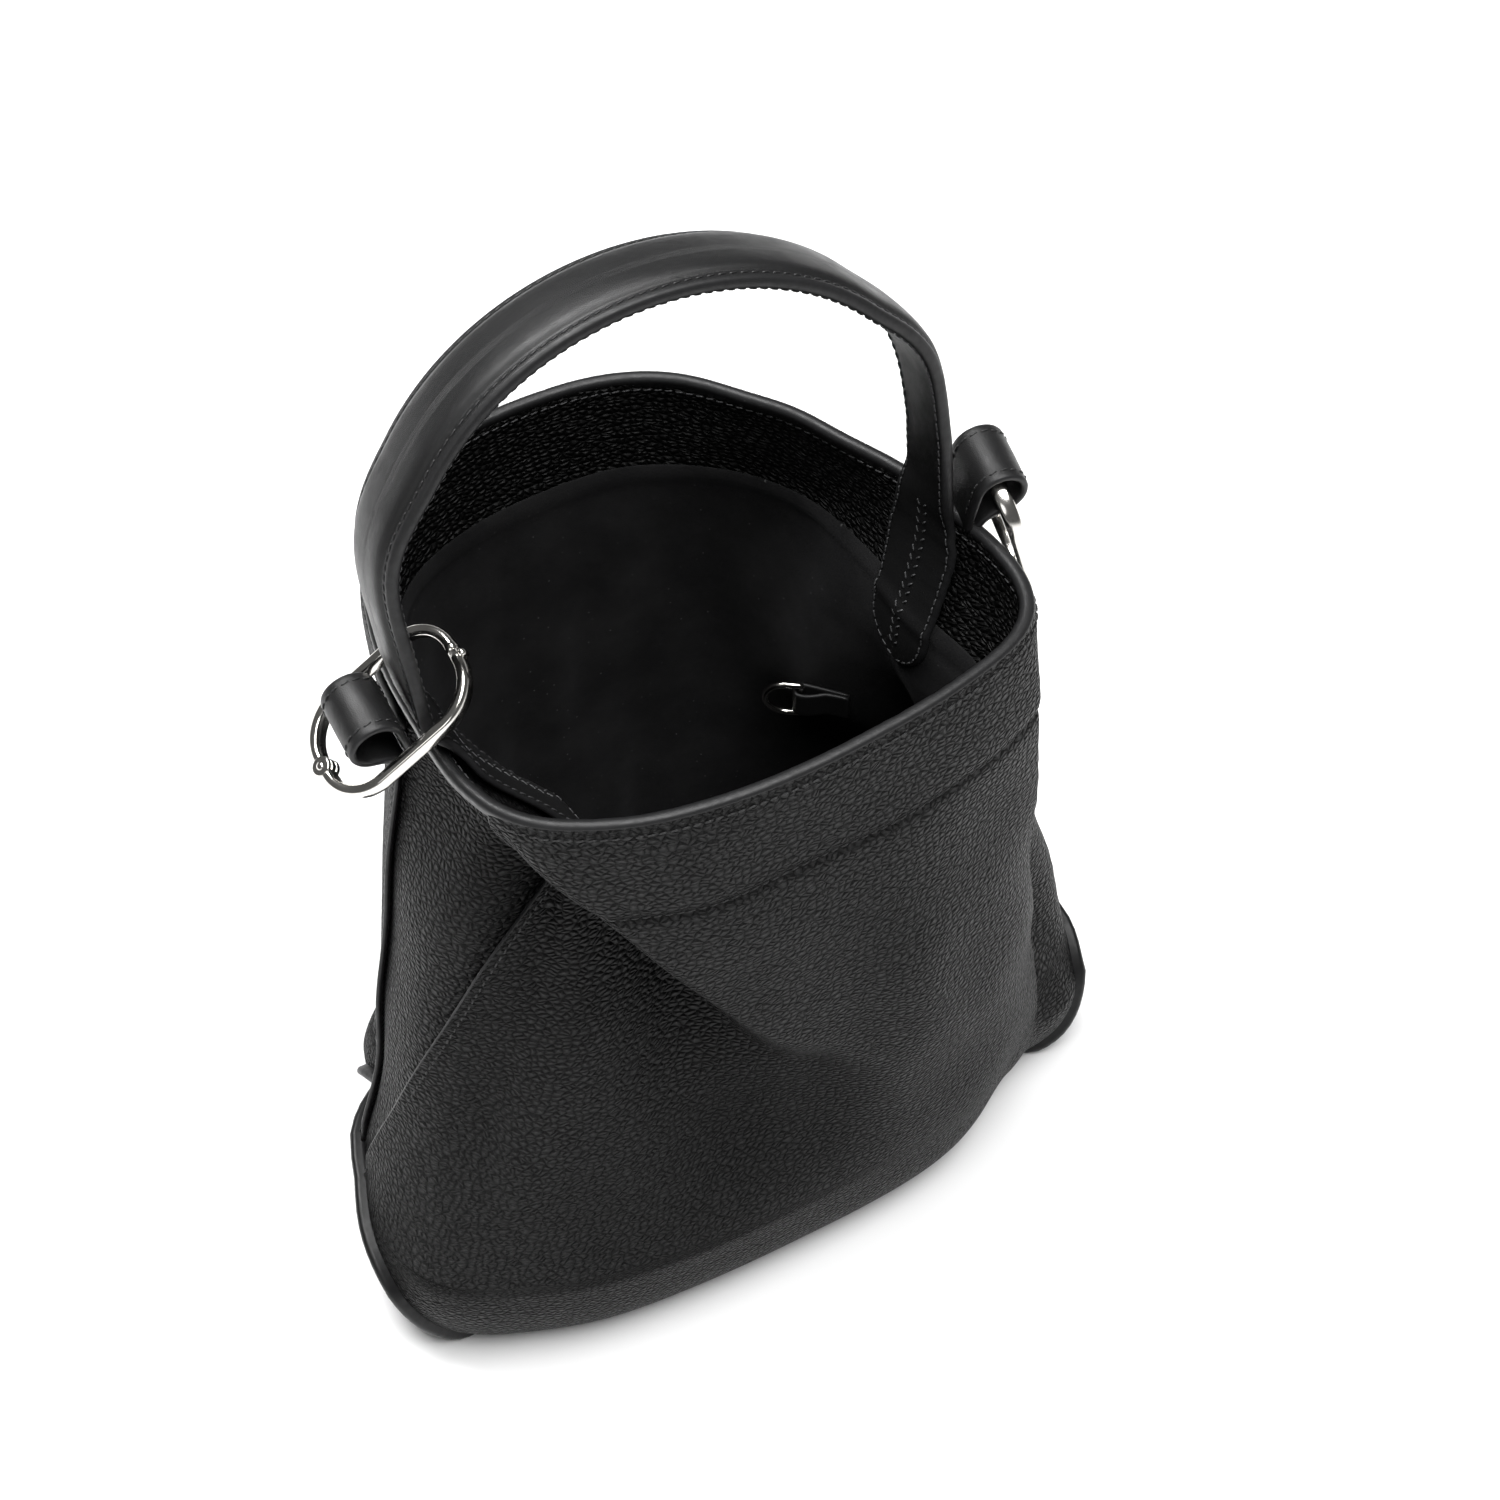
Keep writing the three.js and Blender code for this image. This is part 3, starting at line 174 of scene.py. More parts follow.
def wall_tables():
    """Points and normals of the leather's outside surface, one row per level, one column per turn."""
    turn, level = np.meshgrid(TURNS, np.maximum(LEVELS, BASE_ROLL_HIGH))
    cx, half, front, back, square = np.moveaxis(section(level), -1, 0)
    c, s = np.cos(np.radians(turn)), np.sin(np.radians(turn))
    deep = np.where(s < 0, front, back)
    x = np.sign(c) * np.abs(c) ** (2 / square) * half
    y = np.sign(s) * np.abs(s) ** (2 / square) * deep
    nx = np.sign(c) * np.abs(c) ** (2 - 2 / square) / half
    ny = np.sign(s) * np.abs(s) ** (2 - 2 / square) / deep
    out = sum(rise * bell(apart(turn, t0) / spread) * bell((level - z0) / tall)
              for t0, z0, spread, tall, rise in SWELLS)
    out = out - pocket(turn, level) - corner(turn, level) + ripples(turn, level) + pressed_seam(level)
    size = np.hypot(nx, ny)
    points = np.stack([cx + x + out * nx / size, y + out * ny / size, level], -1)
    ahead = np.roll(points, -2, 1) - np.roll(points, 2, 1)
    flat = np.stack([ahead[..., 1], -ahead[..., 0]], -1)
    flat /= np.linalg.norm(flat, axis=-1, keepdims=True)
    roll = np.clip(1 - LEVELS / BASE_ROLL_HIGH, 0, 1)[:, None] * math.pi / 2
    points[..., :2] -= flat * (BASE_ROLL_DEEP * (1 - np.cos(roll)))[..., None]
    rolled = BASE_ROLL_HIGH * (1 - np.sin(roll))
    points[..., 2] = np.where(LEVELS[:, None] < BASE_ROLL_HIGH, rolled, LEVELS[:, None])
    along = np.roll(points, -1, 1) - np.roll(points, 1, 1)
    up = np.gradient(points, axis=0)
    normals = np.cross(along, up)
    normals /= np.linalg.norm(normals, axis=-1, keepdims=True)
    return points, normals


WALL, WALL_NORMAL = wall_tables()


def sample(table, turn, level):
    """Bilinear look-up of a table with a row per level and equal steps of direction along it."""
    turn, level = np.broadcast_arrays(np.asarray(turn, float), np.asarray(level, float))
    columns = table.shape[1]
    column = (turn % 360) * (columns // 360)
    i = np.floor(column).astype(int)
    f = (column - i)[..., None]
    j = np.clip(np.floor(level).astype(int), 0, len(LEVELS) - 2)
    g = (np.clip(level, 0, RIM) - j)[..., None]
    i, k = i % columns, (i + 1) % columns
    low = table[j, i] * (1 - f) + table[j, k] * f
    high = table[j + 1, i] * (1 - f) + table[j + 1, k] * f
    return low * (1 - g) + high * g


def wall(turn, level, depth=0.0):
    """Point of the leather, depth below its outside surface."""
    depth = np.asarray(depth, float)[..., None]
    return sample(WALL, turn, level) - sample(WALL_NORMAL, turn, level) * depth


def wall_normal(turn, level):
    n = sample(WALL_NORMAL, turn, level)
    return n / np.linalg.norm(n, axis=-1, keepdims=True)


def along_wall(centre, level, distance):
    """Direction that lies a distance along the wall from a centre direction, at one height."""
    side = 1 if distance >= 0 else -1
    turns = centre + side * np.arange(0, 120, 0.5)
    points = sample(WALL, turns, np.full(len(turns), level))
    return np.interp(abs(distance), run_length(points), turns)


def even_turns(start, end, level, count):
    """Directions that part the wall between two directions into equal lengths."""
    turns = np.linspace(start, end, 8 * count)
    points = sample(WALL, turns, np.full(len(turns), level))
    run = run_length(points)
    return np.interp(np.linspace(0, run[-1], count + 1), run, turns)


# The inside of the wall as seen from its middle: one radius per degree and level, smoothed so that
# the lining spans the sharp folds instead of creeping into them.
MIDDLE = np.array([2.0, 6.0])
# angle, height, spread, rise, how far in
SAGS = [(22, 155, 22, 44, 16), (345, 190, 30, 50, 5), (100, 110, 60, 60, 3)]


def inside_table():
    """Radius of the leather's outside round MIDDLE, bridged over its sharp folds."""
    rows = []
    for level, points in zip(LEVELS, WALL):
        away = points[:, :2] - MIDDLE
        angle = np.degrees(np.arctan2(away[:, 1], away[:, 0])) % 360
        radius = np.full(360, np.inf)
        np.minimum.at(radius, np.round(angle).astype(int) % 360, np.hypot(*away.T))
        known = np.isfinite(radius)
        radius = np.interp(np.arange(360), np.arange(360)[known], radius[known], period=360)
        reach = int(round(np.interp(level, [200, 232, 258, RIM], [8, 6, 1, 0])))
        least = np.min([np.roll(radius, k) for k in range(-reach, reach + 1)], axis=0)
        for _ in range(2):
            least = np.mean([np.roll(least, k) for k in range(-reach, reach + 1)], axis=0)
        rows.append(least)
    return np.array(rows)


INSIDE = inside_table()


def inside(angle, level, depth):
    """Point inside the bag, depth in from the leather's outside, at an angle round MIDDLE."""
    angle, level = np.broadcast_arrays(np.asarray(angle, float), np.asarray(level, float))
    radius = sample(INSIDE[..., None], angle, level)[..., 0]
    for a0, z0, spread, tall, sag in SAGS:
        radius = radius - sag * bell(apart(angle, a0) / spread) * bell((level - z0) / tall)
    radius = radius - depth
    turn = np.radians(angle)
    return np.stack([MIDDLE[0] + radius * np.cos(turn), MIDDLE[1] + radius * np.sin(turn), level], -1)


# ---------------------------------------------------------------- mesh helpers

def face_outwards(piece):
    """Turns a closed mesh right side out if its volume comes out negative."""
    mesh = piece.data
    points = np.empty(len(mesh.vertices) * 3)
    mesh.vertices.foreach_get("co", points)
    points = points.reshape(-1, 3)
    volume = 0.0
    mesh.calc_loop_triangles()
    for tri in mesh.loop_triangles:
        a, b, c = (points[i] for i in tri.vertices)
        volume += a @ np.cross(b, c)
    if volume < 0:
        mesh.flip_normals()


def mesh_object(name, points, faces, materials, indices=None, uvs=None):
    """Smooth-shaded piece; indices pick each face's material, uvs each point's place in the grain."""
    mesh = bpy.data.meshes.new(name)
    mesh.from_pydata([tuple(p) for p in np.asarray(points) * MM], [], faces)
    for m in materials:
        mesh.materials.append(m)
    if indices is not None:
        mesh.polygons.foreach_set("material_index", np.asarray(indices, dtype=np.int32))
    mesh.polygons.foreach_set("use_smooth", np.ones(len(mesh.polygons), dtype=bool))
    if uvs is not None:
        layer = mesh.uv_layers.new(name="grain")
        loops = np.empty(len(mesh.loops), dtype=np.int32)
        mesh.loops.foreach_get("vertex_index", loops)
        layer.data.foreach_set("uv", (np.asarray(uvs)[loops] * MM).ravel())
    mesh.validate()
    mesh.update()
    piece = bpy.data.objects.new(name, mesh)
    bpy.context.scene.collection.objects.link(piece)
    face_outwards(piece)
    return piece


def lengths(grid):
    """Distance along the rows and down the columns of a grid, as texture coordinates."""
    across = np.array([run_length(row) for row in grid])
    across -= across[:, across.shape[1] // 2][:, None]
    down = np.array([run_length(column) for column in grid.swapaxes(0, 1)]).mean(0)
    return np.stack([across, down[:, None] + 0 * across], -1)


def unit(v):
    return v / np.maximum(np.linalg.norm(v, axis=-1, keepdims=True), 1e-9)


def sheet(name, outer, inner, materials, closed=False):
    """Sheet between two grids of points, with rounded cut edges in the second material. Where
    closed is true, its rows run all the way round."""
    rounding, bulge = 4, 0.8
    rows, columns = outer.shape[:2]
    grid_uv = lengths(outer)
    points = [outer.reshape(-1, 3), inner.reshape(-1, 3)]
    uvs = [grid_uv.reshape(-1, 2), grid_uv.reshape(-1, 2)]
    faces, indices = [], []

    def at(layer, r, c):
        return layer * rows * columns + r * columns + c % columns

    for r in range(rows - 1):
        for c in range(columns if closed else columns - 1):
            faces.append((at(0, r, c), at(0, r, c + 1), at(0, r + 1, c + 1), at(0, r + 1, c)))
            faces.append((at(1, r, c), at(1, r + 1, c), at(1, r + 1, c + 1), at(1, r, c + 1)))
            indices += [0, 0]
    if closed:
        loops = [([(0, c) for c in range(columns)], 1), ([(rows - 1, c) for c in range(columns)], -1)]
    else:
        loop = [(0, c) for c in range(columns)] + [(r, columns - 1) for r in range(1, rows)]
        loop += [(rows - 1, c) for c in range(columns - 2, -1, -1)]
        loop += [(r, 0) for r in range(rows - 2, 0, -1)]
        loops = [(loop, 1)]
    count = 2 * rows * columns
    for loop, way in loops:
        rings = [[at(0, r, c) for r, c in loop]]
        a = np.array([outer[r, c] for r, c in loop])
        b = np.array([inner[r, c] for r, c in loop])
        near = []
        for r, c in loop:
            dr = 1 if r == 0 else -1 if r == rows - 1 else 0
            dc = 0 if closed else 1 if c == 0 else -1 if c == columns - 1 else 0
            near.append(outer[r + dr, c + dc])
        outward = unit(a - np.array(near))
        middle, arm = (a + b) / 2, (a - b) / 2
        size = np.linalg.norm(arm, axis=1, keepdims=True)
        for k in range(1, rounding):
            t = math.pi * k / rounding
            points.append(middle + arm * math.cos(t) + outward * size * math.sin(t) * bulge)
            uvs.append(np.array([grid_uv[r, c] for r, c in loop]))
            rings.append(list(range(count, count + len(loop))))
            count += len(loop)
        rings.append([at(1, r, c) for r, c in loop])
        for first, second in zip(rings, rings[1:]):
            for k in range(len(loop)):
                m = (k + 1) % len(loop)
                quad = (first[k], second[k], second[m], first[m])
                faces.append(quad if way > 0 else quad[::-1])
                indices.append(1)
    return mesh_object(name, np.concatenate(points), faces, materials, indices, np.concatenate(uvs))


def tube_faces(rings, spokes, wrapped=False):
    """Faces between neighbouring rings of points, and from the last ring to the first if wrapped."""
    faces = []
    for r in range(rings if wrapped else rings - 1):
        n = (r + 1) % rings
        for k in range(spokes):
            m = (k + 1) % spokes
            faces.append((r * spokes + k, r * spokes + m, n * spokes + m, n * spokes + k))
    return faces


def end_faces(rings, spokes):
    return [tuple(reversed(range(spokes))), tuple(range((rings - 1) * spokes, rings * spokes))]


def sweep(name, centres, sides, ups, profile, materials, closed_path=False):
    """Solid that carries a closed profile of (side, up) points along a path. profile may be one list,
    or one list per station."""
    profile = np.asarray(profile, float)
    if profile.ndim == 2:
        profile = np.repeat(profile[None], len(centres), 0)
    stations, corners = profile.shape[:2]
    grid = centres[:, None] + sides[:, None] * profile[..., :1] + ups[:, None] * profile[..., 1:]
    points = list(grid.reshape(-1, 3))
    run = run_length(centres)
    uvs = [(r, s) for s in run for r in run_length(profile[stations // 2])]
    faces = tube_faces(stations, corners, closed_path)
    if not closed_path:
        for s in (0, stations - 1):
            points.append(grid[s].mean(0))
            uvs.append((0, run[s]))
            for c in range(corners):
                tri = (s * corners + c, s * corners + (c + 1) % corners, len(points) - 1)
                faces.append(tri[::-1] if s == 0 else tri)
    return mesh_object(name, np.array(points), faces, materials, uvs=np.array(uvs))


# one stitch: place along it, thickness, rise, as parts of its length, width and width
STITCH = [(-0.5, 0.12, -0.30), (-0.42, 0.75, -0.02), (-0.2, 1.0, 0.12),
          (0.2, 1.0, 0.12), (0.42, 0.75, -0.02), (0.5, 0.12, -0.30)]


def at_places(places, run, values):
    """Rows of values, read between the points of a path at given distances along it."""
    return np.stack([np.interp(places, run, values[:, k]) for k in range(3)], -1)


def stitch_line(name, path, normals, thread, pitch=3.2, long=2.5, slant=9.0):
    """A row of separate saddle stitches lying on a surface."""
    wide, lift, reach, spokes = 0.62, 0.05, 0.6, 8
    path, normals = np.asarray(path, float), unit(np.asarray(normals, float))
    run = run_length(path)
    count = max(1, int(run[-1] / pitch))
    places = (np.arange(count) + 0.5) * run[-1] / count
    centre = at_places(places, run, path)
    ahead = unit(at_places(places + reach, run, path) - at_places(places - reach, run, path))
    normal = unit(at_places(places, run, normals))
    side = unit(np.cross(normal, ahead))
    c, s = math.cos(math.radians(slant)), math.sin(math.radians(slant))
    ahead, side = ahead * c + side * s, side * c - ahead * s
    local = []
    for along, fat, rise in STITCH:
        for t in 2 * math.pi * np.arange(spokes) / spokes:
            thick = wide * fat
            up = 0.36 * thick * math.sin(t) + rise * wide + lift
            local.append((along * long, 0.5 * thick * math.cos(t), up))
    faces = tube_faces(len(STITCH), spokes) + end_faces(len(STITCH), spokes)
    local = np.array(local)
    points, every = [], []
    for c, a, s, n in zip(centre, ahead, side, normal):
        every += [tuple(i + len(points) * len(local) for i in f) for f in faces]
        points.append(c + local[:, :1] * a + local[:, 1:2] * s + local[:, 2:] * n)
    uvs = np.tile(local[:, :2], (count, 1))
    return mesh_object(name, np.concatenate(points), every, [thread], uvs=uvs)


# ---------------------------------------------------------------- materials

def times(factor, colour):
    return tuple(factor * c for c in colour)


class Look:
    """A new material, with short ways to add nodes to it."""

    def __init__(self, name, roughness, metallic=0.0, specular=0.5):
        self.material = bpy.data.materials.new(name)
        self.material.use_nodes = True
        self.tree = self.material.node_tree
        self.shader = self.tree.nodes["Principled BSDF"]
        self.shader.inputs["Metallic"].default_value = metallic
        self.shader.inputs["Roughness"].default_value = roughness
        self.shader.inputs["Specular IOR Level"].default_value = specular

    def feed(self, socket, value):
        """Links a node's output to a socket, or sets a constant on it."""
        if isinstance(value, bpy.types.NodeSocket):
            self.tree.links.new(value, socket)
        else:
            socket.default_value = value

    def node(self, kind, vector=None, **settings):
        """New node; vector goes into its Vector socket."""
        made = self.tree.nodes.new("ShaderNode" + kind)
        for key, value in settings.items():
            if hasattr(made, key):
                setattr(made, key, value)
            else:
                made.inputs[key].default_value = value
        if vector is not None:
            self.feed(made.inputs["Vector"], vector)
        return made

    def grain(self):
        return self.node("UVMap", uv_map="grain").outputs["UV"]

    def place(self):
        return self.node("TexCoord").outputs["Object"]

    def noise(self, vector, scale, detail, dimensions="2D", **more):
        more.update(noise_dimensions=dimensions, Scale=scale, Detail=detail)
        return self.node("TexNoise", vector, **more)

    def cells(self, vector, scale, feature="F1"):
        return self.node("TexVoronoi", vector, voronoi_dimensions="2D", feature=feature, Scale=scale)

    def ramp(self, value, *stops):
        """Colour or grey for a value, by stops of (value, colour or grey)."""
        made = self.node("ValToRGB")
        elements = made.color_ramp.elements
        while len(elements) < len(stops):
            elements.new(0.5)
        for element, (at, colour) in zip(elements, stops):
            element.position = at
            element.color = (*colour, 1) if isinstance(colour, tuple) else (colour, colour, colour, 1)
        self.feed(made.inputs["Fac"], value)
        return made.outputs["Color"]

    def bump(self, height, strength, distance, under=None):
        """Relief from a height, laid over the relief under it."""
        made = self.node("Bump", Strength=strength, Distance=distance)
        self.feed(made.inputs["Height"], height)
        if under is not None:
            self.feed(made.inputs["Normal"], under)
        return made.outputs["Normal"]

    def sum(self, kind, operation, *values):
        """Result of a Math or VectorMath node."""
        made = self.node(kind, operation=operation)
        for socket, value in zip(made.inputs, values):
            self.feed(socket, value)
        return made.outputs[0]

    def mix(self, factor, first, second, **settings):
        """Colour mixed from two others."""
        made = self.node("Mix", data_type="RGBA", **settings)
        self.feed(made.inputs["Factor"], factor)
        self.feed(made.inputs[6], first)
        self.feed(made.inputs[7], second)
        return made.outputs[2]

    def done(self, colour, roughness=None, normal=None):
        """Gives the shader its colour, roughness and relief, and returns the material."""
        for name, value in (("Base Color", colour), ("Roughness", roughness), ("Normal", normal)):
            if value is not None:
                self.feed(self.shader.inputs[name], value)
        return self.material


def pebbled(name, tone=1.0):
    """Soft pebbled leather: rounded cells, slightly wider than tall, coloured darker down into the creases
    as painted shade and lighter on the domes as painted light.
    """
    cell_scale = 500.0
    look = Look(name, 0.45, specular=0.15)
    grain = look.grain()
    stretched = look.node("Mapping", grain, Scale=(0.8, 1.06, 1)).outputs["Vector"]
    wander = look.noise(stretched, 260.0, 2.0).outputs["Color"]
    offset = look.sum("VectorMath", "MULTIPLY_ADD", wander, (0.0013, 0.0013, 0), stretched)
    cells = look.cells(offset, cell_scale, "DISTANCE_TO_EDGE").outputs["Distance"]
    domes = look.cells(offset, cell_scale, "SMOOTH_F1").outputs["Distance"]
    crease = look.ramp(cells, (0.0, 0.0), (0.10, 0.5), (0.34, 1.0))
    dome = look.ramp(domes, (0.0, 1.0), (0.75, 0.35))
    height = look.sum("Math", "MULTIPLY", crease, dome)
    fine = look.noise(grain, 3200.0, 3.0).outputs["Fac"]
    both = look.sum("Math", "MULTIPLY_ADD", fine, 0.05, height)
    broad = look.noise(grain, 28.0, 4.0).outputs["Fac"]
    relief = look.bump(both, 1.0, 0.0014, look.bump(broad, 0.5, 0.0009))
    # colour follows the cells' height: painted shade in the creases, painted light on the dome tops
    colour = look.ramp(
        height, (0.0, times(tone, (0.0008, 0.0008, 0.0009))), (0.35, times(tone, (0.0042, 0.0042, 0.0043))),
        (0.9, times(tone, (0.0086, 0.0085, 0.0085))),
    )
    patch = look.ramp(broad, (0.3, 0.82), (0.7, 1.12))
    colour = look.mix(1.0, colour, patch, blend_type="MULTIPLY")
    return look.done(colour, look.ramp(both, (0.1, 0.62), (0.9, 0.40)), relief)


def smooth_leather(name, base, rough):
    """Smooth satin leather: fine pores, faint creases and small differences of gloss."""
    look = Look(name, rough, specular=0.36)
    grain = look.grain()
    pores = look.cells(grain, 1700.0, "DISTANCE_TO_EDGE").outputs["Distance"]
    pore_relief = look.bump(look.ramp(pores, (0.0, 0.0), (0.18, 1.0)), 0.35, 0.00008)
    creases = look.noise(grain, 90.0, 5.0, Roughness=0.62).outputs["Fac"]
    relief = look.bump(creases, 0.4, 0.0005, pore_relief)
    colour = look.ramp(creases, (0.3, times(0.82, base)), (0.7, times(1.2, base)))
    return look.done(colour, look.ramp(creases, (0.3, rough + 0.06), (0.75, rough - 0.06)), relief)


def painted_edge(name, base):
    """Hand-painted cut edge: rubbery, slightly lumpy along its length."""
    look = Look(name, 0.42, specular=0.3)
    lumps = look.noise(look.place(), 420.0, 3.0, "3D").outputs["Fac"]
    colour = look.ramp(lumps, (0.3, times(0.75, base)), (0.7, times(1.3, base)))
    return look.done(colour, look.ramp(lumps, (0.3, 0.5), (0.7, 0.36)), look.bump(lumps, 0.5, 0.0002))


def suede(name):
    """Black suede: soft lighter patches painted in as the sheen of its brushed fibres, with a few specks of
    dust.
    """
    look = Look(name, 0.95, specular=0.12)
    look.shader.inputs["Sheen Weight"].default_value = 0.06
    look.shader.inputs["Sheen Roughness"].default_value = 0.6
    look.shader.inputs["Sheen Tint"].default_value = (0.5, 0.5, 0.52, 1)
    grain = look.grain()
    sheen_patches = look.noise(grain, 38.0, 6.0, Roughness=0.65).outputs["Fac"]
    fibres = look.noise(grain, 2600.0, 4.0).outputs["Fac"]
    # lighter patches: painted sheen of the brushed fibres, on top of the shader's own sheen
    colour = look.ramp(sheen_patches, (0.35, (0.0048, 0.0048, 0.0050)), (0.7, (0.0120, 0.0118, 0.0121)))
    specks = look.cells(grain, 330.0)
    dots = look.ramp(specks.outputs["Distance"], (0.06, 1.0), (0.11, 0.0))
    rare = look.ramp(specks.outputs["Color"], (0.80, 0.0), (0.92, 0.55))
    dust = look.sum("Math", "MULTIPLY", dots, rare)
    return look.done(look.mix(dust, colour, (0.11, 0.11, 0.11, 1)), normal=look.bump(fibres, 0.6, 0.0003))


def thread(name, base):
    """Waxed twisted thread."""
    look = Look(name, 0.5, specular=0.45)
    twist = look.node("TexWave", look.grain(), wave_type="BANDS", bands_direction="DIAGONAL",
                      Scale=420.0, Distortion=1.0).outputs["Fac"]
    colour = look.ramp(twist, (0.2, times(0.6, base)), (0.8, base))
    return look.done(colour, normal=look.bump(twist, 0.6, 0.0001))


def silver(name):
    """Polished silver-plated metal with hairline scratches."""
    look = Look(name, 0.14, metallic=1.0)
    place = look.place()
    cloud = look.noise(place, 160.0, 4.0, "3D").outputs["Fac"]
    stretched = look.node("Mapping", place, Scale=(40, 900, 300)).outputs["Vector"]
    hair = look.noise(stretched, 6.0, 3.0, "3D").outputs["Fac"]
    colour = look.ramp(cloud, (0.3, (0.74, 0.72, 0.68)), (0.7, (0.86, 0.84, 0.80)))
    return look.done(colour, look.ramp(cloud, (0.3, 0.10), (0.7, 0.20)), look.bump(hair, 0.12, 0.00003))


def clouded(name, roughness, specular, scale, detail, dark, light):
    """Plain matt stuff, clouded between two colours."""
    look = Look(name, roughness, specular=specular)
    cloud = look.noise(look.place(), scale, detail, "3D").outputs["Fac"]
    return look.done(look.ramp(cloud, (0.3, dark), (0.7, light)))


PEBBLED = pebbled("pebbled_leather")
# the facing's copy of the pebbled leather is darkened to 0.6 as painted shade for the inside of the bag
PEBBLED_SHADED = pebbled("pebbled_leather_facing", 0.6)
SATIN = smooth_leather("smooth_leather", (0.008, 0.008, 0.0082), 0.38)
MATT = smooth_leather("smooth_leather_inside", (0.006, 0.006, 0.0062), 0.5)
EDGE = painted_edge("edge_paint", (0.011, 0.011, 0.0115))
EDGE_DARK = painted_edge("edge_paint_dark", (0.005, 0.005, 0.0053))
SUEDE = suede("suede_lining")
THREAD = thread("thread_dark", (0.014, 0.014, 0.0145))
THREAD_GREY = thread("thread_grey", (0.050, 0.050, 0.052))
SILVER = silver("polished_silver")
BOARD = clouded("stiffener", 0.9, 0.2, 900.0, 5.0, (0.02, 0.018, 0.016), (0.05, 0.046, 0.042))


def keep(piece, body="bag", stands_for=()):
    """Puts a finished piece on its body and hides the CAD nodes it stands for."""
    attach(piece, body)
    if stands_for:
        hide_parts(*stands_for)
    return piece


# ---------------------------------------------------------------- outside panels

LEFT, RIGHT = 180, 360
LEATHER = 2.0
CAP_HALF_WIDTH, CAP_HEIGHT, CAP_SQUARE = 56, 48, 2.4
GUSSET_FOOT, GUSSET_TOP, GUSSET_FULL = 6, 33, 206  # half widths, and the height of the full one
WELT_WIDTH, WELT_PROUD = 3.4, 3.6
BACK_SEAM = 38  # where front and back meet under the base


def gusset_half_width(level):
    return np.interp(level, [CAP_HEIGHT, GUSSET_FULL], [GUSSET_FOOT, GUSSET_TOP])


def cap_stations(count):
    """Points of the end cap's outline, from its foot to its top, as parts of its width and height."""
    turn = math.pi / 2 * (np.arange(count) / count) ** 1.6
    return np.cos(turn) ** (2 / CAP_SQUARE), np.sin(turn) ** (2 / CAP_SQUARE)


CAP_ACROSS, CAP_UP = cap_stations(26)
NEAR_SEAM = FACING_SEAM + np.array([-2.2, -1.4, -0.7, 0, 0.7, 1.4, 2.2])
GUSSET_LEVELS = np.sort(np.concatenate([np.linspace(RIM - 0.6, CAP_HEIGHT + 1.4, 74), NEAR_SEAM]))[::-1]


def cap_rows(grow):
    """Levels and half widths down the end cap's outline, made larger all round by grow."""
    high, wide = CAP_HEIGHT + grow, CAP_HALF_WIDTH + grow
    return [(up * high, across * wide) for across, up in zip(CAP_ACROSS[::-1], CAP_UP[::-1])]


def panel(name, front):
    """Front or back: the wall between the gussets and end caps, turned under the base."""
    columns, lap_width, floor_rows = 120, 1.3, 8
    rows = [(z, gusset_half_width(z) - 1.0) for z in GUSSET_LEVELS] + cap_rows(1.2)
    turns = []
    for level, width in rows:
        start = along_wall(LEFT, level, width if front else -width)
        end = along_wall(RIGHT if front else 0, level, -width if front else width)
        turns.append(even_turns(start, end, level, columns))
    turns = np.array(turns)
    levels = np.repeat(np.array([z for z, _ in rows])[:, None], columns + 1, 1)
    side = np.minimum(np.arange(columns + 1), np.arange(columns + 1)[::-1])
    seams = smooth(levels, CAP_HEIGHT, CAP_HEIGHT + 12) * (1 - smooth(levels, RIM - 12, RIM))
    lap = 1.5 * bell(side / lap_width) * seams
    outer = wall(turns, levels, -lap)
    inner = wall(turns, levels, LEATHER - lap)
    seam = BACK_SEAM + (-0.2 if front else 0.2)
    under = []
    for t in np.arange(1, floor_rows + 1) / floor_rows:
        row = outer[-1].copy()
        row[:, 1] = row[:, 1] * (1 - t) + seam * t
        row[:, 2] = 0
        under.append(row)
    under = np.array(under)
    outer, inner = np.concatenate([outer, under]), np.concatenate([inner, under + [0, 0, LEATHER]])
    return sheet(name, outer, inner, [PEBBLED, EDGE_DARK])


def side_patch(name, centre, rows, columns, depth):
    """Leather between the panels: rows of (level, half width) round a centre direction."""
    turns = []
    for level, width in rows:
        start, end = along_wall(centre, level, -width), along_wall(centre, level, width)
        turns.append(even_turns(start, end, level, columns))
    levels = np.repeat(np.array([z for z, _ in rows])[:, None], columns + 1, 1)
    depths = np.full(levels.shape, depth)
    outer, inner = wall(turns, levels, depths), wall(turns, levels, depths + LEATHER)
    return sheet(name, outer, inner, [PEBBLED, EDGE_DARK])


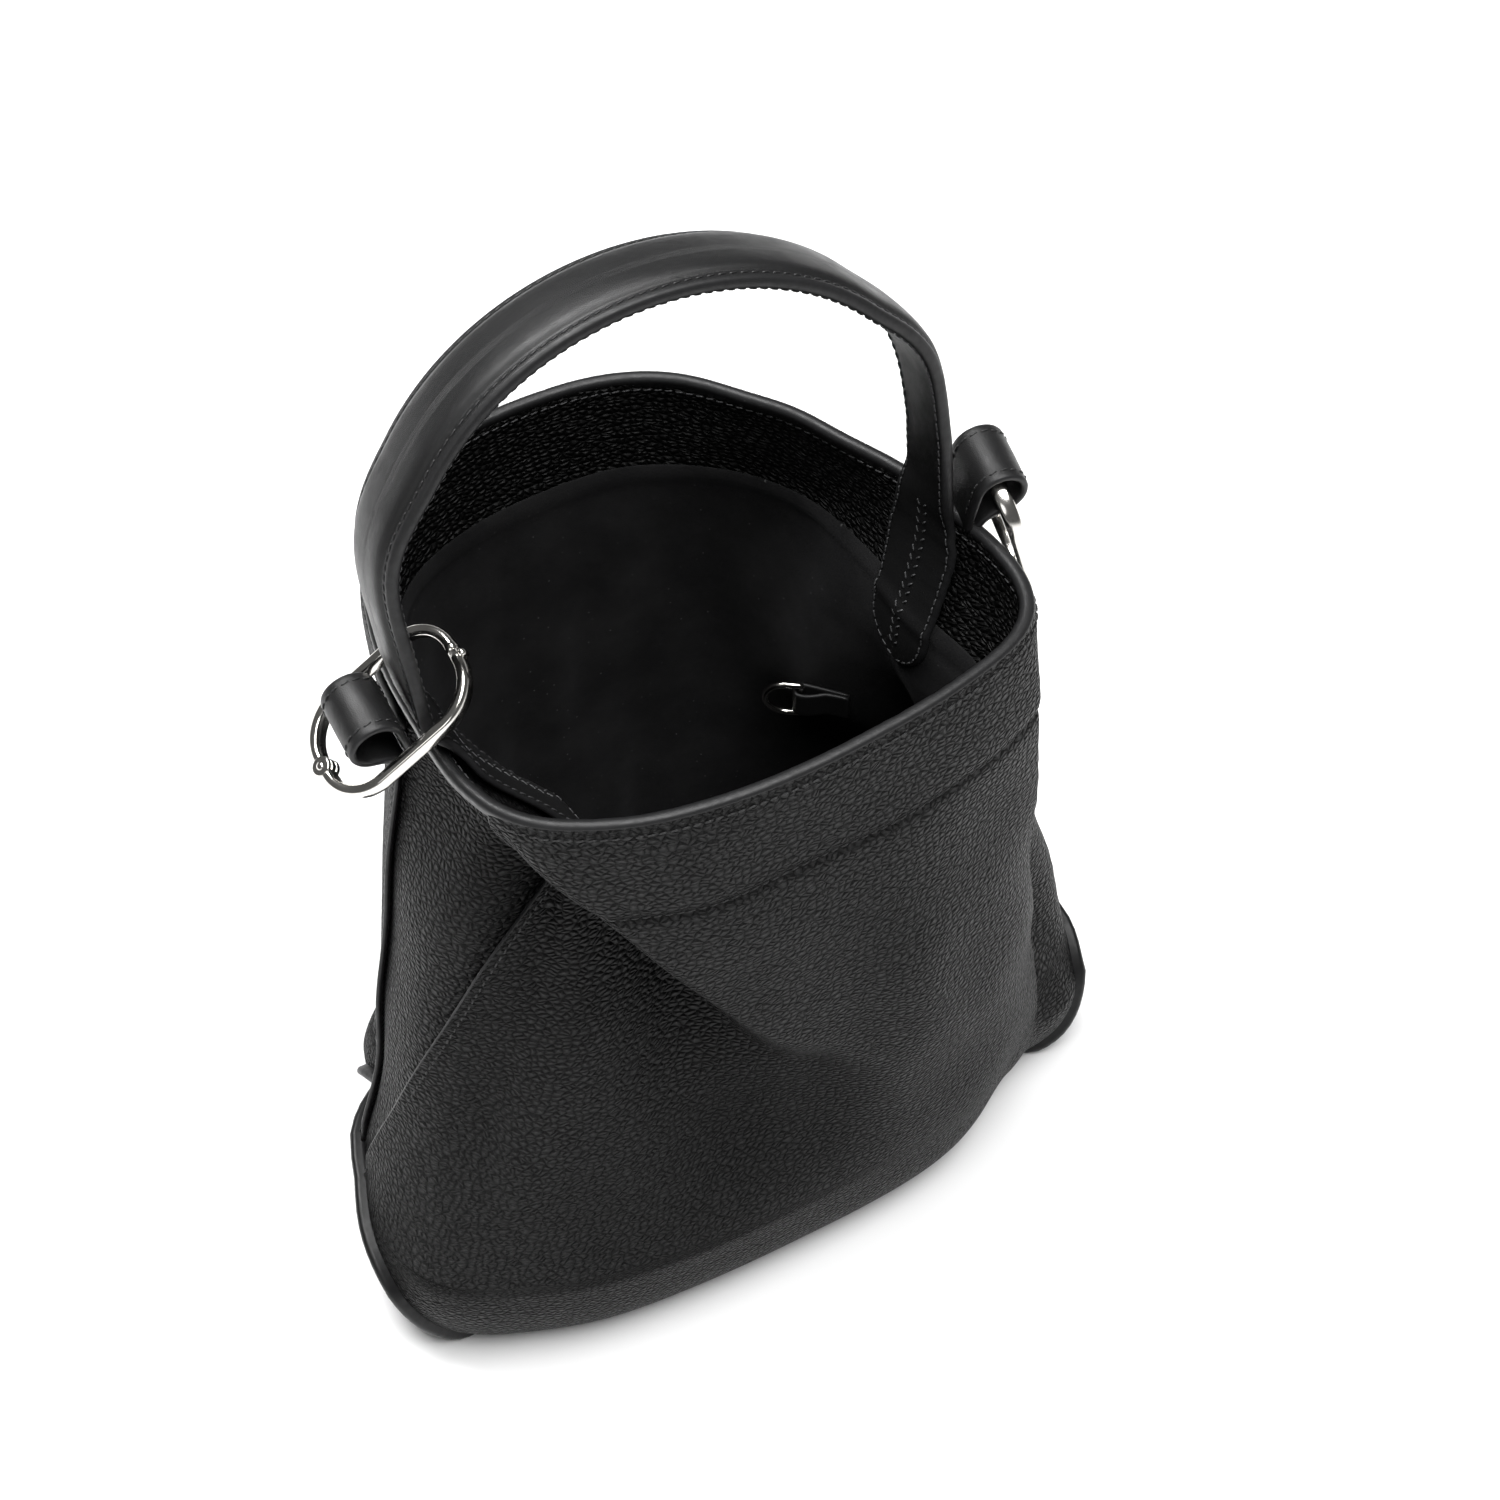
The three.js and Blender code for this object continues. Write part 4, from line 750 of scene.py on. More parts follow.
keep(panel("front_leather", True), stands_for=["front_panel"])
keep(panel("back_leather", False), stands_for=["back_panel"])
for side, centre in (("left", LEFT), ("right", RIGHT)):
    rows = [(z, gusset_half_width(z) + 2.5) for z in GUSSET_LEVELS]
    patch = side_patch(f"gusset_leather_{side}", centre, rows, 34, 1.3)
    keep(patch, stands_for=[f"gusset_{side}"])
    patch = side_patch(f"end_cap_leather_{side}", centre, cap_rows(-1.3), 40, 0.2)
    keep(patch, stands_for=[f"end_cap_{side}"])

    # welt round the D: a folded leather edge standing out of the seam
    across = np.concatenate([CAP_ACROSS, [0], -CAP_ACROSS[::-1]])
    up = np.concatenate([CAP_UP, [1], CAP_UP[::-1]])
    rails = []
    for grow in (-0.5, 0, 0.5):
        levels = np.maximum(up * (CAP_HEIGHT + grow), 0)
        places = across * (CAP_HALF_WIDTH + grow)
        rails.append([(along_wall(centre, z, place), z) for place, z in zip(places, levels)])
    rails = np.array(rails)
    low, middle, high = (wall(r[:, 0], r[:, 1]) for r in rails)
    normal = wall_normal(rails[1][:, 0], rails[1][:, 1])
    lie = unit(high - low)
    proud = np.interp(rails[1][:, 1], [0, 12], [0.15, 1])
    turn = np.linspace(0, math.pi, 13)
    half = WELT_WIDTH / 2
    crown = [(half * math.cos(t), WELT_PROUD - half + half * math.sin(t)) for t in turn]
    root, waist = (half + 0.5, -1.6), (half + 0.1, 0.2)
    profile = np.array([root, waist] + crown + [(-waist[0], waist[1]), (-root[0], root[1])])
    profile = profile[None] * np.stack([np.ones_like(proud), proud], -1)[:, None]
    welt = sweep(f"end_welt_leather_{side}", middle, lie, normal, profile, [EDGE_DARK])
    keep(welt, stands_for=[f"end_welt_{side}"])


# ---------------------------------------------------------------- inside

FACING_DEPTH, FACING = 2.3, 1.4
LINING_DEPTH, LINING = 5.6, 0.8
ANGLES = np.arange(0, 360, 1.0)


def drape(angle, level):
    """Soft vertical folds of the loose lining."""
    a = np.radians(angle)
    loose = smooth(FACING_FOOT - level, 0, 45)
    fold = np.sin(7 * a + 0.6 + level / 60) + 0.7 * np.sin(12 * a - level / 45 + 2.2)
    fold = fold + 0.5 * np.sin(19 * a + level / 33)
    return 1.1 * loose * (fold + 1.2) + 0.25 * np.sin(23 * a + level / 9.0) * loose


def facing_face(depth):
    """Grid over one face of the facing, from the rim down."""
    levels = np.linspace(RIM - 0.8, FACING_FOOT, 16)
    angle, level = np.meshgrid(ANGLES, levels)
    return inside(angle, level, depth)


def lining_face(depth, floor):
    """Grid over one face of the lining, down its wall and in over its floor."""
    turn_in = 16
    levels = np.concatenate([np.linspace(FACING_FOOT + 6, turn_in, 70), [12, 8.5, 6.4]])
    angle, level = np.meshgrid(ANGLES, levels)
    foot = smooth(turn_in - level, 0, 10)
    rows = inside(angle, np.maximum(level, turn_in), depth + drape(angle, level) + 7 * foot)
    rows[..., 2] = level
    rows[-1, :, 2] = floor
    middle = rows[-1].mean(0)
    rings = [middle + (rows[-1] - middle) * s for s in np.linspace(0.93, 0.004, 16)]
    return np.concatenate([rows, np.array(rings)])


faces = lining_face(LINING_DEPTH, 4.7), lining_face(LINING_DEPTH + LINING, 5.5)
keep(sheet("lining_suede", *faces, [SUEDE, SUEDE], closed=True), stands_for=["lining"])
faces = facing_face(FACING_DEPTH), facing_face(FACING_DEPTH + FACING)
facing = sheet("rim_facing_leather", *faces, [PEBBLED_SHADED, EDGE_DARK], closed=True)
keep(facing, stands_for=["rim_facing"])

# painted top edge that joins the outside leather and the facing
outside_edge = wall(ANGLES, np.full(360, RIM), np.full(360, -0.15))
bearing = np.degrees(np.arctan2(*(outside_edge[:, :2] - MIDDLE).T[::-1])) % 360
inside_edge = inside(bearing, np.full(360, RIM), FACING_DEPTH + FACING + 0.15)
half = np.linalg.norm(outside_edge - inside_edge, axis=1) / 2
turn = np.linspace(0, math.pi, 11)
crown = [(-1, -3.2)] + [(-math.cos(t), -0.9 + 1.7 * math.sin(t)) for t in turn] + [(1, -3.2)]
profile = np.array(crown)[None] * np.stack([half, np.ones(360)], -1)[:, None]
rim_middle = (outside_edge + inside_edge) / 2
inwards, upwards = unit(inside_edge - outside_edge), np.tile([0, 0, 1.0], (360, 1))
rim = sweep("rim_edge", rim_middle, inwards, upwards, profile, [EDGE], closed_path=True)
keep(rim)


# ---------------------------------------------------------------- handle

LEAN = math.radians(16.6)
HANDLE_BASE = np.array([-1.8, 0.8, 270.4])
HALF_SPAN, RISE, ROUNDNESS = 86, 109.5, 0.73
ACROSS = np.array([0, math.cos(LEAN), -math.sin(LEAN)])
UP = np.array([0, math.sin(LEAN), math.cos(LEAN)])
PIVOT_RISE = 27  # the pivot line lies this far above HANDLE_BASE
TAB_DEPTH = 62  # and the tips of the inner tabs this far below it
NECK, STRAP, TAB = 23 / 2, 31.5 / 2, 28 / 2  # half widths
LEG_LEAN = {-1: LEAN, 1: math.radians(7)}  # lean of each leg below the pivot line
TAB_INSET = 5.2  # depth of the tabs' outer face below the outside of the leather
ARCH_STATIONS = 121


def arch(fraction):
    """Middle line of the arch, from 0 at its left foot to 1 at its right one."""
    turn = math.pi * np.asarray(fraction, float)
    rise = RISE * np.abs(np.sin(turn)) ** ROUNDNESS
    x = HANDLE_BASE[0] - HALF_SPAN * np.cos(turn)
    return np.stack([x, HANDLE_BASE[1] + rise * UP[1], HANDLE_BASE[2] + rise * UP[2]], -1)


PIVOT = HANDLE_BASE + UP * PIVOT_RISE


def leg_axes(side):
    """Directions across and up a leg of the strap below the pivot line."""
    lean = LEG_LEAN[side]
    return np.array([0, math.cos(lean), -math.sin(lean)]), np.array([0, math.sin(lean), math.cos(lean)])


START = math.asin((PIVOT_RISE / RISE) ** (1 / ROUNDNESS)) / math.pi
NECK_X = [-83.2, 82]


def both_ends(leg, middle):
    """Values of a leg from its tip, of the arch, and of the leg again back to its tip."""
    return np.concatenate([leg, middle, leg[::-1]])


def strap_stations():
    """Middle line of the whole strap, from the left inner tab over the arch to the right one."""
    tip_steps = [0.02, 0.12, 0.35, 0.8, 1.5, 2.5, 4, 6, 8.5, 11]
    down = np.concatenate([tip_steps, np.arange(14, TAB_DEPTH + PIVOT_RISE - 1, 2.0)])
    low = -TAB_DEPTH + down
    arches = np.linspace(START, 1 - START, ARCH_STATIONS)
    centres = arch(arches)
    ahead = unit(arch(arches + 0.002) - arch(arches - 0.002))
    tip = np.minimum(down / TAB, 1)
    tip_half = (NECK + (TAB - NECK) * smooth(-low, 2, 18)) * np.sqrt(1 - (1 - tip) ** 2)
    order = np.arange(ARCH_STATIONS)
    grown = smooth(np.minimum(order, order[::-1]), 0, 24)
    centres[:, 0] += (np.where(centres[:, 0] < HANDLE_BASE[0], *NECK_X) - centres[:, 0]) * (1 - grown)
    turned_leg = smooth(-low, -PIVOT_RISE - 1, -PIVOT_RISE + 14)[:, None]
    legs, leg_across, sideways = [], [], []
    for side, x in zip((-1, 1), NECK_X):
        leg_side, leg_up = leg_axes(side)
        legs.append(PIVOT * [0, 1, 1] + [x, 0, 0] + leg_up * (low - PIVOT_RISE)[:, None])
        leg_across.append(ACROSS + (leg_side - ACROSS) * turned_leg)
        sideways.append(np.tile([float(side), 0, 0], (len(low), 1)))
    middle = np.concatenate([legs[0], centres, legs[1][::-1]])
    normal = np.concatenate([sideways[0], unit(np.cross(ahead, ACROSS)), sideways[1]])
    across = np.concatenate([leg_across[0], np.tile(ACROSS, (ARCH_STATIONS, 1)), leg_across[1][::-1]])
    half = both_ends(tip_half, NECK + (STRAP - NECK) * grown)
    padded = both_ends(smooth(low, 6, 26), np.ones(ARCH_STATIONS))
    below = both_ends(low, np.full(ARCH_STATIONS, np.inf))
    window = np.ones(7) / 7
    normal = np.stack([np.convolve(np.pad(row, 3, mode="edge"), window, "valid") for row in normal.T], -1)
    return middle, unit(normal), half, padded, unit(across), below


MIDDLE_LINE, STRAP_NORMAL, STRAP_HALF, PAD, STRAP_ACROSS, LEG_LEVEL = strap_stations()
SIDES = np.where(MIDDLE_LINE[:, 0] < HANDLE_BASE[0], -1, 1)


def inner_wall_x(y, z, side, depth):
    """x of the inside of the wall where a line along X meets it."""
    centre = 180 if side < 0 else 0
    angle = centre + np.arange(-50, 50.5, 1.0)
    levels = np.minimum(z, RIM)
    points = inside(angle[None, :] % 360, levels[:, None], depth)
    x = np.empty(len(y))
    for k in range(len(y)):
        order = np.argsort(points[k, :, 1])
        x[k] = np.interp(y[k], points[k, order, 1], points[k, order, 0])
    return x


def strap_point(stations, u, t):
    """Points of the strap: u across it in millimetres, t outwards from its middle surface."""
    u, t = np.broadcast_to(u, len(stations)), np.broadcast_to(t, len(stations))
    points = MIDDLE_LINE[stations] + STRAP_ACROSS[stations] * u[:, None]
    pressed = 0.42  # a tab sewn to the wall is this much thinner than the free strap
    sink = np.where(LEG_LEVEL[stations] < PIVOT_RISE, smooth(RIM + 12 - points[:, 2], 0, 14), 0)
    thin = 1 - pressed * sink
    free = points + STRAP_NORMAL[stations] * t[:, None]
    for side in (-1, 1):
        here = (SIDES[stations] == side) & (sink > 0)
        if not here.any():
            continue
        x = inner_wall_x(points[here, 1], points[here, 2], side, TAB_INSET + 3.0 * (1 - pressed))
        sunk = x + side * t[here] * thin[here]
        free[here, 0] = free[here, 0] * (1 - sink[here]) + sunk * sink[here]
    return free


def strap_profile(half, pad):
    """Closed section: crowned padded middle, a step down to the stitched margins, thick painted
    edges and a flat inner face. Returns (u, t, material)."""
    k = half / STRAP
    top = 1.3
    crest = top + 2.2 * pad
    crown = [(0.0, 0.0), (3.0, 0.04), (6.0, 0.16), (8.4, 0.42), (9.8, 0.85), (10.4, 1.35), (10.75, 1.9)]
    outer = [(u, crest - drop * pad) for u, drop in crown]
    outer += [(11.0, top), (11.7, top + 0.02), (12.8, top), (13.7, top - 0.05)]
    edge = [(14.3, top - 0.35), (14.7, top - 1.1), (14.8, top - 2.0), (14.7, top - 2.9), (14.3, top - 3.6)]
    inner = [(13.7, -2.62), (11.8, -2.7), (9.0, -2.78), (4.5, -2.86), (0.0, -2.9)]
    right = [(u * k, t, kind) for kind, part in enumerate((outer, edge, inner)) for u, t in part]
    left = [(-u, t, m) for u, t, m in reversed(right[1:-1])]
    return np.array(right + left)


def strap_mesh():
    stations = np.arange(len(MIDDLE_LINE))
    profiles = np.array([strap_profile(h, p) for h, p in zip(STRAP_HALF, PAD)])
    columns = profiles.shape[1]
    grid = np.stack([strap_point(stations, profiles[:, c, 0], profiles[:, c, 1]) for c in range(columns)], 1)
    around = run_length(profiles[90, :, :2])
    uvs = [(a, r) for r in run_length(MIDDLE_LINE) for a in around]
    kinds = profiles[0, :, 2].astype(int)
    which = []
    for c in range(columns):
        pair = {kinds[c], kinds[(c + 1) % columns]}
        which.append(1 if 1 in pair else max(pair))
    faces = tube_faces(len(stations), columns)
    faces += [tuple(range(columns)), tuple(range((len(stations) - 1) * columns, len(stations) * columns))]
    which = which * (len(stations) - 1) + [1, 1]
    return mesh_object("handle_strap", grid.reshape(-1, 3), faces, [SATIN, EDGE, MATT], which, uvs)


def bend(piece, stands_for=()):
    """Bakes a finished piece's placing into its mesh and hides the CAD nodes it stands for."""
    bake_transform(piece)
    if stands_for:
        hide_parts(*stands_for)


bend(strap_mesh(),
     ["handle_root_left", "handle_root_right", "handle_outer", "handle_inner", "handle_core"])


def strap_stitches(name, stations, u, t, colour, outward, **how):
    """A row of stitches along the strap, u from its middle and t out of its middle surface."""
    path = strap_point(stations, u, t)
    normals = STRAP_NORMAL[stations] * (1 if outward else -1)
    bend(stitch_line(name, path, normals, colour, **how))


every = np.arange(len(MIDDLE_LINE))
ridge_rows = every[MIDDLE_LINE[:, 2] > RIM - 2]
tab = {"left": every[: len(every) // 2], "right": every[::-1][: len(every) // 2]}
for sign, row in ((-1, "front"), (1, "back")):
    u = sign * STRAP_HALF * (12.3 / STRAP)
    strap_stitches(f"handle_stitches_outer_{row}", ridge_rows, u[ridge_rows], 1.32, THREAD, True)
    inner_u = sign * np.maximum(STRAP_HALF - 2.3, 0)
    rows = every[STRAP_HALF > 2.4]
    strap_stitches(f"handle_stitches_inner_{row}", rows, inner_u[rows], -2.72, THREAD_GREY, False)
for side in ("left", "right"):
    low = LEG_LEVEL[tab[side]]
    rows = tab[side][(low > -TAB_DEPTH + 5) & (low < 2)]
    for sign, row in ((-1, "a"), (1, "b")):
        name = f"handle_tab_stitches_{side}_{row}"
        u = np.full(len(rows), sign * 1.3)
        strap_stitches(name, rows, u, -2.9, THREAD_GREY, False, pitch=3.4, long=2.3, slant=38.0 * sign)


# ---------------------------------------------------------------- seams

def wall_stitches(name, turns, levels, depth=0.0, **how):
    """A row of stitches on the outside of the wall."""
    turns, levels = np.asarray(turns, float), np.asarray(levels, float)
    path = wall(turns, levels, np.full(len(turns), depth))
    keep(stitch_line(name, path, wall_normal(turns, levels), THREAD, **how))


def inside_stitches(name, angles, levels, depth):
    """A row of stitches on the inside of the facing."""
    angles, levels = np.broadcast_arrays(np.asarray(angles, float), np.asarray(levels, float))
    path = inside(angles, levels, depth)
    turn = np.radians(angles)
    normals = np.stack([-np.cos(turn), -np.sin(turn), np.zeros(len(turn))], -1)
    keep(stitch_line(name, path, normals, THREAD_GREY))


ring = np.arange(0, 361, 1.0)
sewn_round = (("rim", RIM - 4.2), ("facing", FACING_SEAM))
for where, level in sewn_round:
    wall_stitches(f"{where}_stitches_outside", ring, np.full(361, level))
for where, level in sewn_round:
    inside_stitches(f"{where}_stitches_inside", ring % 360, level, FACING_DEPTH + FACING)
for side, centre in (("left", LEFT), ("right", RIGHT)):
    for sign, row in ((-1, "a"), (1, "b")):
        levels = GUSSET_LEVELS[2:]
        turns = [along_wall(centre, z, sign * (gusset_half_width(z) + 1.8)) for z in levels]
        wall_stitches(f"gusset_stitches_{side}_{row}", turns, levels, depth=-0.5, pitch=3.0, long=2.2)


# ---------------------------------------------------------------- hardware

def placed(frame_axes, local):
    """Points given in a local frame (X, Y, Z, origin), in the bag's frame."""
    x, y, z, origin = (np.array(v, float) for v in frame_axes)
    local = np.asarray(local, float)
    return origin + local[..., :1] * x + local[..., 1:2] * y + local[..., 2:] * z


def place_piece(piece, frame_axes):
    """Moves a piece's points from a local frame to the bag's frame."""
    points = np.empty(len(piece.data.vertices) * 3)
    piece.data.vertices.foreach_get("co", points)
    points = placed(frame_axes, points.reshape(-1, 3) / MM) * MM
    piece.data.vertices.foreach_set("co", points.ravel())
    piece.data.update()
    return piece


def rounded_section(across, high, square, count=20):
    """Closed section between an ellipse, square 2, and a rectangle, square very large."""
    turn = np.linspace(0, 2 * math.pi, count, endpoint=False)
    c, s = np.cos(turn), np.sin(turn)
    x = across / 2 * np.sign(c) * np.abs(c) ** (2 / square)
    return np.stack([x, high / 2 * np.sign(s) * np.abs(s) ** (2 / square)], -1)


def softened(path, times_over):
    """Path with its corners rounded off, its two ends held."""
    for _ in range(times_over):
        path[1:-1] = (path[:-2] + path[1:-1] * 2 + path[2:]) / 4
    return path


def arc(cx, cy, radius, start, end, count):
    turn = np.radians(np.linspace(start, end, count))
    return np.stack([cx + radius * np.cos(turn), cy + radius * np.sin(turn)], -1)


def flat_sweep(name, path, section_points, materials, closed_path=False):
    """Band along a flat path in the local XY plane, its section's second axis along Z."""
    path = np.asarray(path, float)
    if closed_path:
        ahead = unit(np.roll(path, -1, 0) - np.roll(path, 1, 0))
    else:
        ahead = unit(np.gradient(path, axis=0))
    centres = np.pad(path, ((0, 0), (0, 1)))
    sides = np.stack([ahead[:, 1], -ahead[:, 0], np.zeros(len(path))], -1)
    ups = np.tile([0, 0, 1.0], (len(path), 1))
    return sweep(name, centres, sides, ups, section_points, materials, closed_path)


def turned(name, centre, outline, materials, spokes=40):
    """Solid of revolution about a local Z line; outline is (radius, z) from its bottom to its top."""
    turn = np.linspace(0, 2 * math.pi, spokes, endpoint=False)
    points = []
    for radius, z in np.asarray(outline, float):
        x, y = centre[0] + radius * np.cos(turn), centre[1] + radius * np.sin(turn)
        points.append(np.stack([x, y, np.full(spokes, z)], -1))
    faces = tube_faces(len(outline), spokes) + end_faces(len(outline), spokes)
    points = np.concatenate(points)
    return mesh_object(name, points, faces, materials, uvs=points[:, :2])


def joined(name, pieces):
    """One object out of several that touch and move together."""
    for other in bpy.context.selected_objects:
        other.select_set(False)
    for piece in pieces:
        piece.select_set(True)
    bpy.context.view_layer.objects.active = pieces[0]
    bpy.ops.object.join()
    pieces[0].name = name
    return pieces[0]


LINK_LONG, LINK_WIDE, LINK_BAND, LINK_HIGH, LINK_CORNER = 26.5, 17.5, 3.4, 5.2, 15
HINGE_X = -(LINK_LONG - LINK_BAND / 2)
EYE, TONGUE = 2.9, 0.94


def link_half(sign):
    """Middle line of one half of the oval band, from the split to the hinge."""
    mid = LINK_BAND / 2
    radius = LINK_CORNER - mid
    cx, cy = LINK_LONG - LINK_CORNER, LINK_WIDE - LINK_CORNER
    path = np.concatenate([
        [(LINK_LONG - mid, 0.16), (LINK_LONG - mid, cy)],
        arc(cx, cy, radius, 2, 90, 22), arc(-cx, cy, radius, 91, 178, 22),
        [(-LINK_LONG + mid, cy * 0.6), (-LINK_LONG + mid, 0.8)],
    ])
    return path * [1, sign]


def barrel(name, low, high):
    """Short round barrel of the hinge, with softened edges."""
    soft = 0.35
    foot = [(EYE - soft, low), (EYE - 0.1, low + 0.12), (EYE, low + soft)]
    return turned(name, (HINGE_X, 0), foot + [(r, low + high - z) for r, z in reversed(foot)], [SILVER])


def domed(name, centre, half_outline, spokes):
    """Round solid with the same end above and below; half_outline is (radius, depth), from its end."""
    outline = [(r, -z) for r, z in half_outline] + list(reversed(half_outline))
    return turned(name, centre, outline, [SILVER], spokes)


def link_axes(side):
    """Frame of a link: its swing runs along Y, and its gate opens about Z at the hinge."""
    across = joint(f"link_{side}_swing")[1]
    hinge, up = joint(f"link_{side}_open")
    along = np.cross(across, up)
    return along, across, up, hinge - HINGE_X * along


for side in ("left", "right"):
    axes = link_axes(side)
    band = rounded_section(LINK_BAND, LINK_HIGH, 3.0)
    still = joined(f"link_{side}_band", [
        flat_sweep("band", link_half(1), band, [SILVER]),
        barrel("tongue", -TONGUE, TONGUE),
    ])
    nub = domed("nub", (LINK_LONG + 0.1, -1.7), [(0.2, 1.9), (0.9, 1.7), (1.15, 1.3)], 20)
    gate = joined(f"link_{side}_gate_band", [
        flat_sweep("band", link_half(-1), band, [SILVER]),
        barrel("cheek", TONGUE + 0.25, LINK_HIGH / 2 + 0.1),
        barrel("cheek", -LINK_HIGH / 2 - 0.1, -TONGUE - 0.25),
        nub,
    ])
    pin = domed(f"link_{side}_rivet", (HINGE_X, 0), [(0.4, 3.25), (1.0, 3.1), (1.25, 2.8)], 24)
    for piece, body, node in ((still, "", "frame"), (gate, "_gate", "gate"), (pin, "", "pin")):
        keep(place_piece(piece, axes), f"link_{side}{body}", [f"link_{side}_{node}"])


# rolled leather loops: X out from the strap, Z up, the origin at the pinched foot
LOOP_U, LOOP_UP, LOOP_RADIUS, LOOP_LAYER, LOOP_HALF = 10.3, 11.3, 7.1, 2.1, 9.75


def loop_strip(side, axes):
    """A strip that goes up from the foot, over the tunnel and back down beside itself."""
    first, last = LOOP_LAYER / 2, 3 * LOOP_LAYER / 2
    path = softened(np.concatenate([
        np.linspace((first, -1.6), (first + 0.3, 3.4), 6),
        arc(LOOP_U, LOOP_UP, LOOP_RADIUS, 176, -82, 44),
        np.linspace((last + 3.4, 2.9), (last + 0.2, -1.6), 6),
    ]), 3)
    ahead = unit(np.gradient(path, axis=0))
    out = np.stack([-ahead[:, 1], ahead[:, 0]], -1)
    across = np.linspace(-1, 1, 19)
    faces = []
    for offset in (LOOP_LAYER / 2, -LOOP_LAYER / 2):
        rail = path + out * offset
        crown = 0.12 * (1 - across**2) * np.sign(offset)
        x, z = (rail[:, None, k] + out[:, None, k] * crown for k in (0, 1))
        y = np.repeat((across * LOOP_HALF)[None], len(path), 0)
        faces.append(placed(axes, np.stack([x, y, z], -1)))
    piece = sheet(f"loop_strip_{side}", faces[0], faces[1], [SATIN, EDGE])
    keep(piece, stands_for=[f"loop_{side}"])
    rail = path + out * (LOOP_LAYER / 2 + 0.05)
    sewn = slice(4, -4)
    normals = placed((*axes[:3], (0, 0, 0)), np.stack([out[:, 0], 0 * out[:, 0], out[:, 1]], -1))[sewn]
    for sign, row in ((-1, "a"), (1, "b")):
        local = np.stack([rail[:, 0], np.full(len(path), sign * (LOOP_HALF - 2.1)), rail[:, 1]], -1)
        stitches = stitch_line(f"loop_stitches_{side}_{row}", placed(axes, local)[sewn], normals, THREAD)
        keep(stitches)


loop_low, loop_high = cad("loop_left")
LOOP_FOOT = (loop_high[0], (loop_low[1] + loop_high[1]) / 2, loop_low[2])
loop_strip("left", ((-1, 0, 0), (0, -1, 0), (0, 0, 1), LOOP_FOOT))
tunnel, along_tunnel = joint("link_right_swing")
outwards = np.cross(along_tunnel, (0, 0, 1))
right_foot = tunnel - outwards * LOOP_U - np.array([0, 0, LOOP_UP])
loop_strip("right", (outwards, along_tunnel, (0, 0, 1), right_foot))


# D-ring and its folded tab on the lining
TAB_TURN, RING_OPEN = 135.1, 12  # direction of the tab along the lining, and the ring's further turn
RING_BAR = joint("key_ring_swing")[0]


def ring_axes(turn):
    """Frame at the ring's bar: X points in a direction seen from above, Z into the bag."""
    c, s = math.cos(math.radians(turn)), math.sin(math.radians(turn))
    return (c, s, 0), (0, 0, -1), (-s, c, 0), RING_BAR


RING_AXES, TAB_AXES = ring_axes(TAB_TURN + RING_OPEN), ring_axes(TAB_TURN)
WIRE, CORNER = 1.1, 1.1  # radius of the ring's wire and of its two corners
d_path = np.concatenate([
    np.linspace((0, -6.3), (0, 6.3), 12), arc(CORNER, 6.3, CORNER, 170, 95, 5),
    arc(4.4, 0, 7.4, 88, -88, 40), arc(CORNER, -6.3, CORNER, -95, -170, 5),
])
section_points = rounded_section(2 * WIRE, 2 * WIRE, 2.0, 16)
ring_piece = flat_sweep("d_ring_wire", d_path, section_points, [SILVER], closed_path=True)
keep(place_piece(ring_piece, RING_AXES), "key_ring", ["d_ring"])

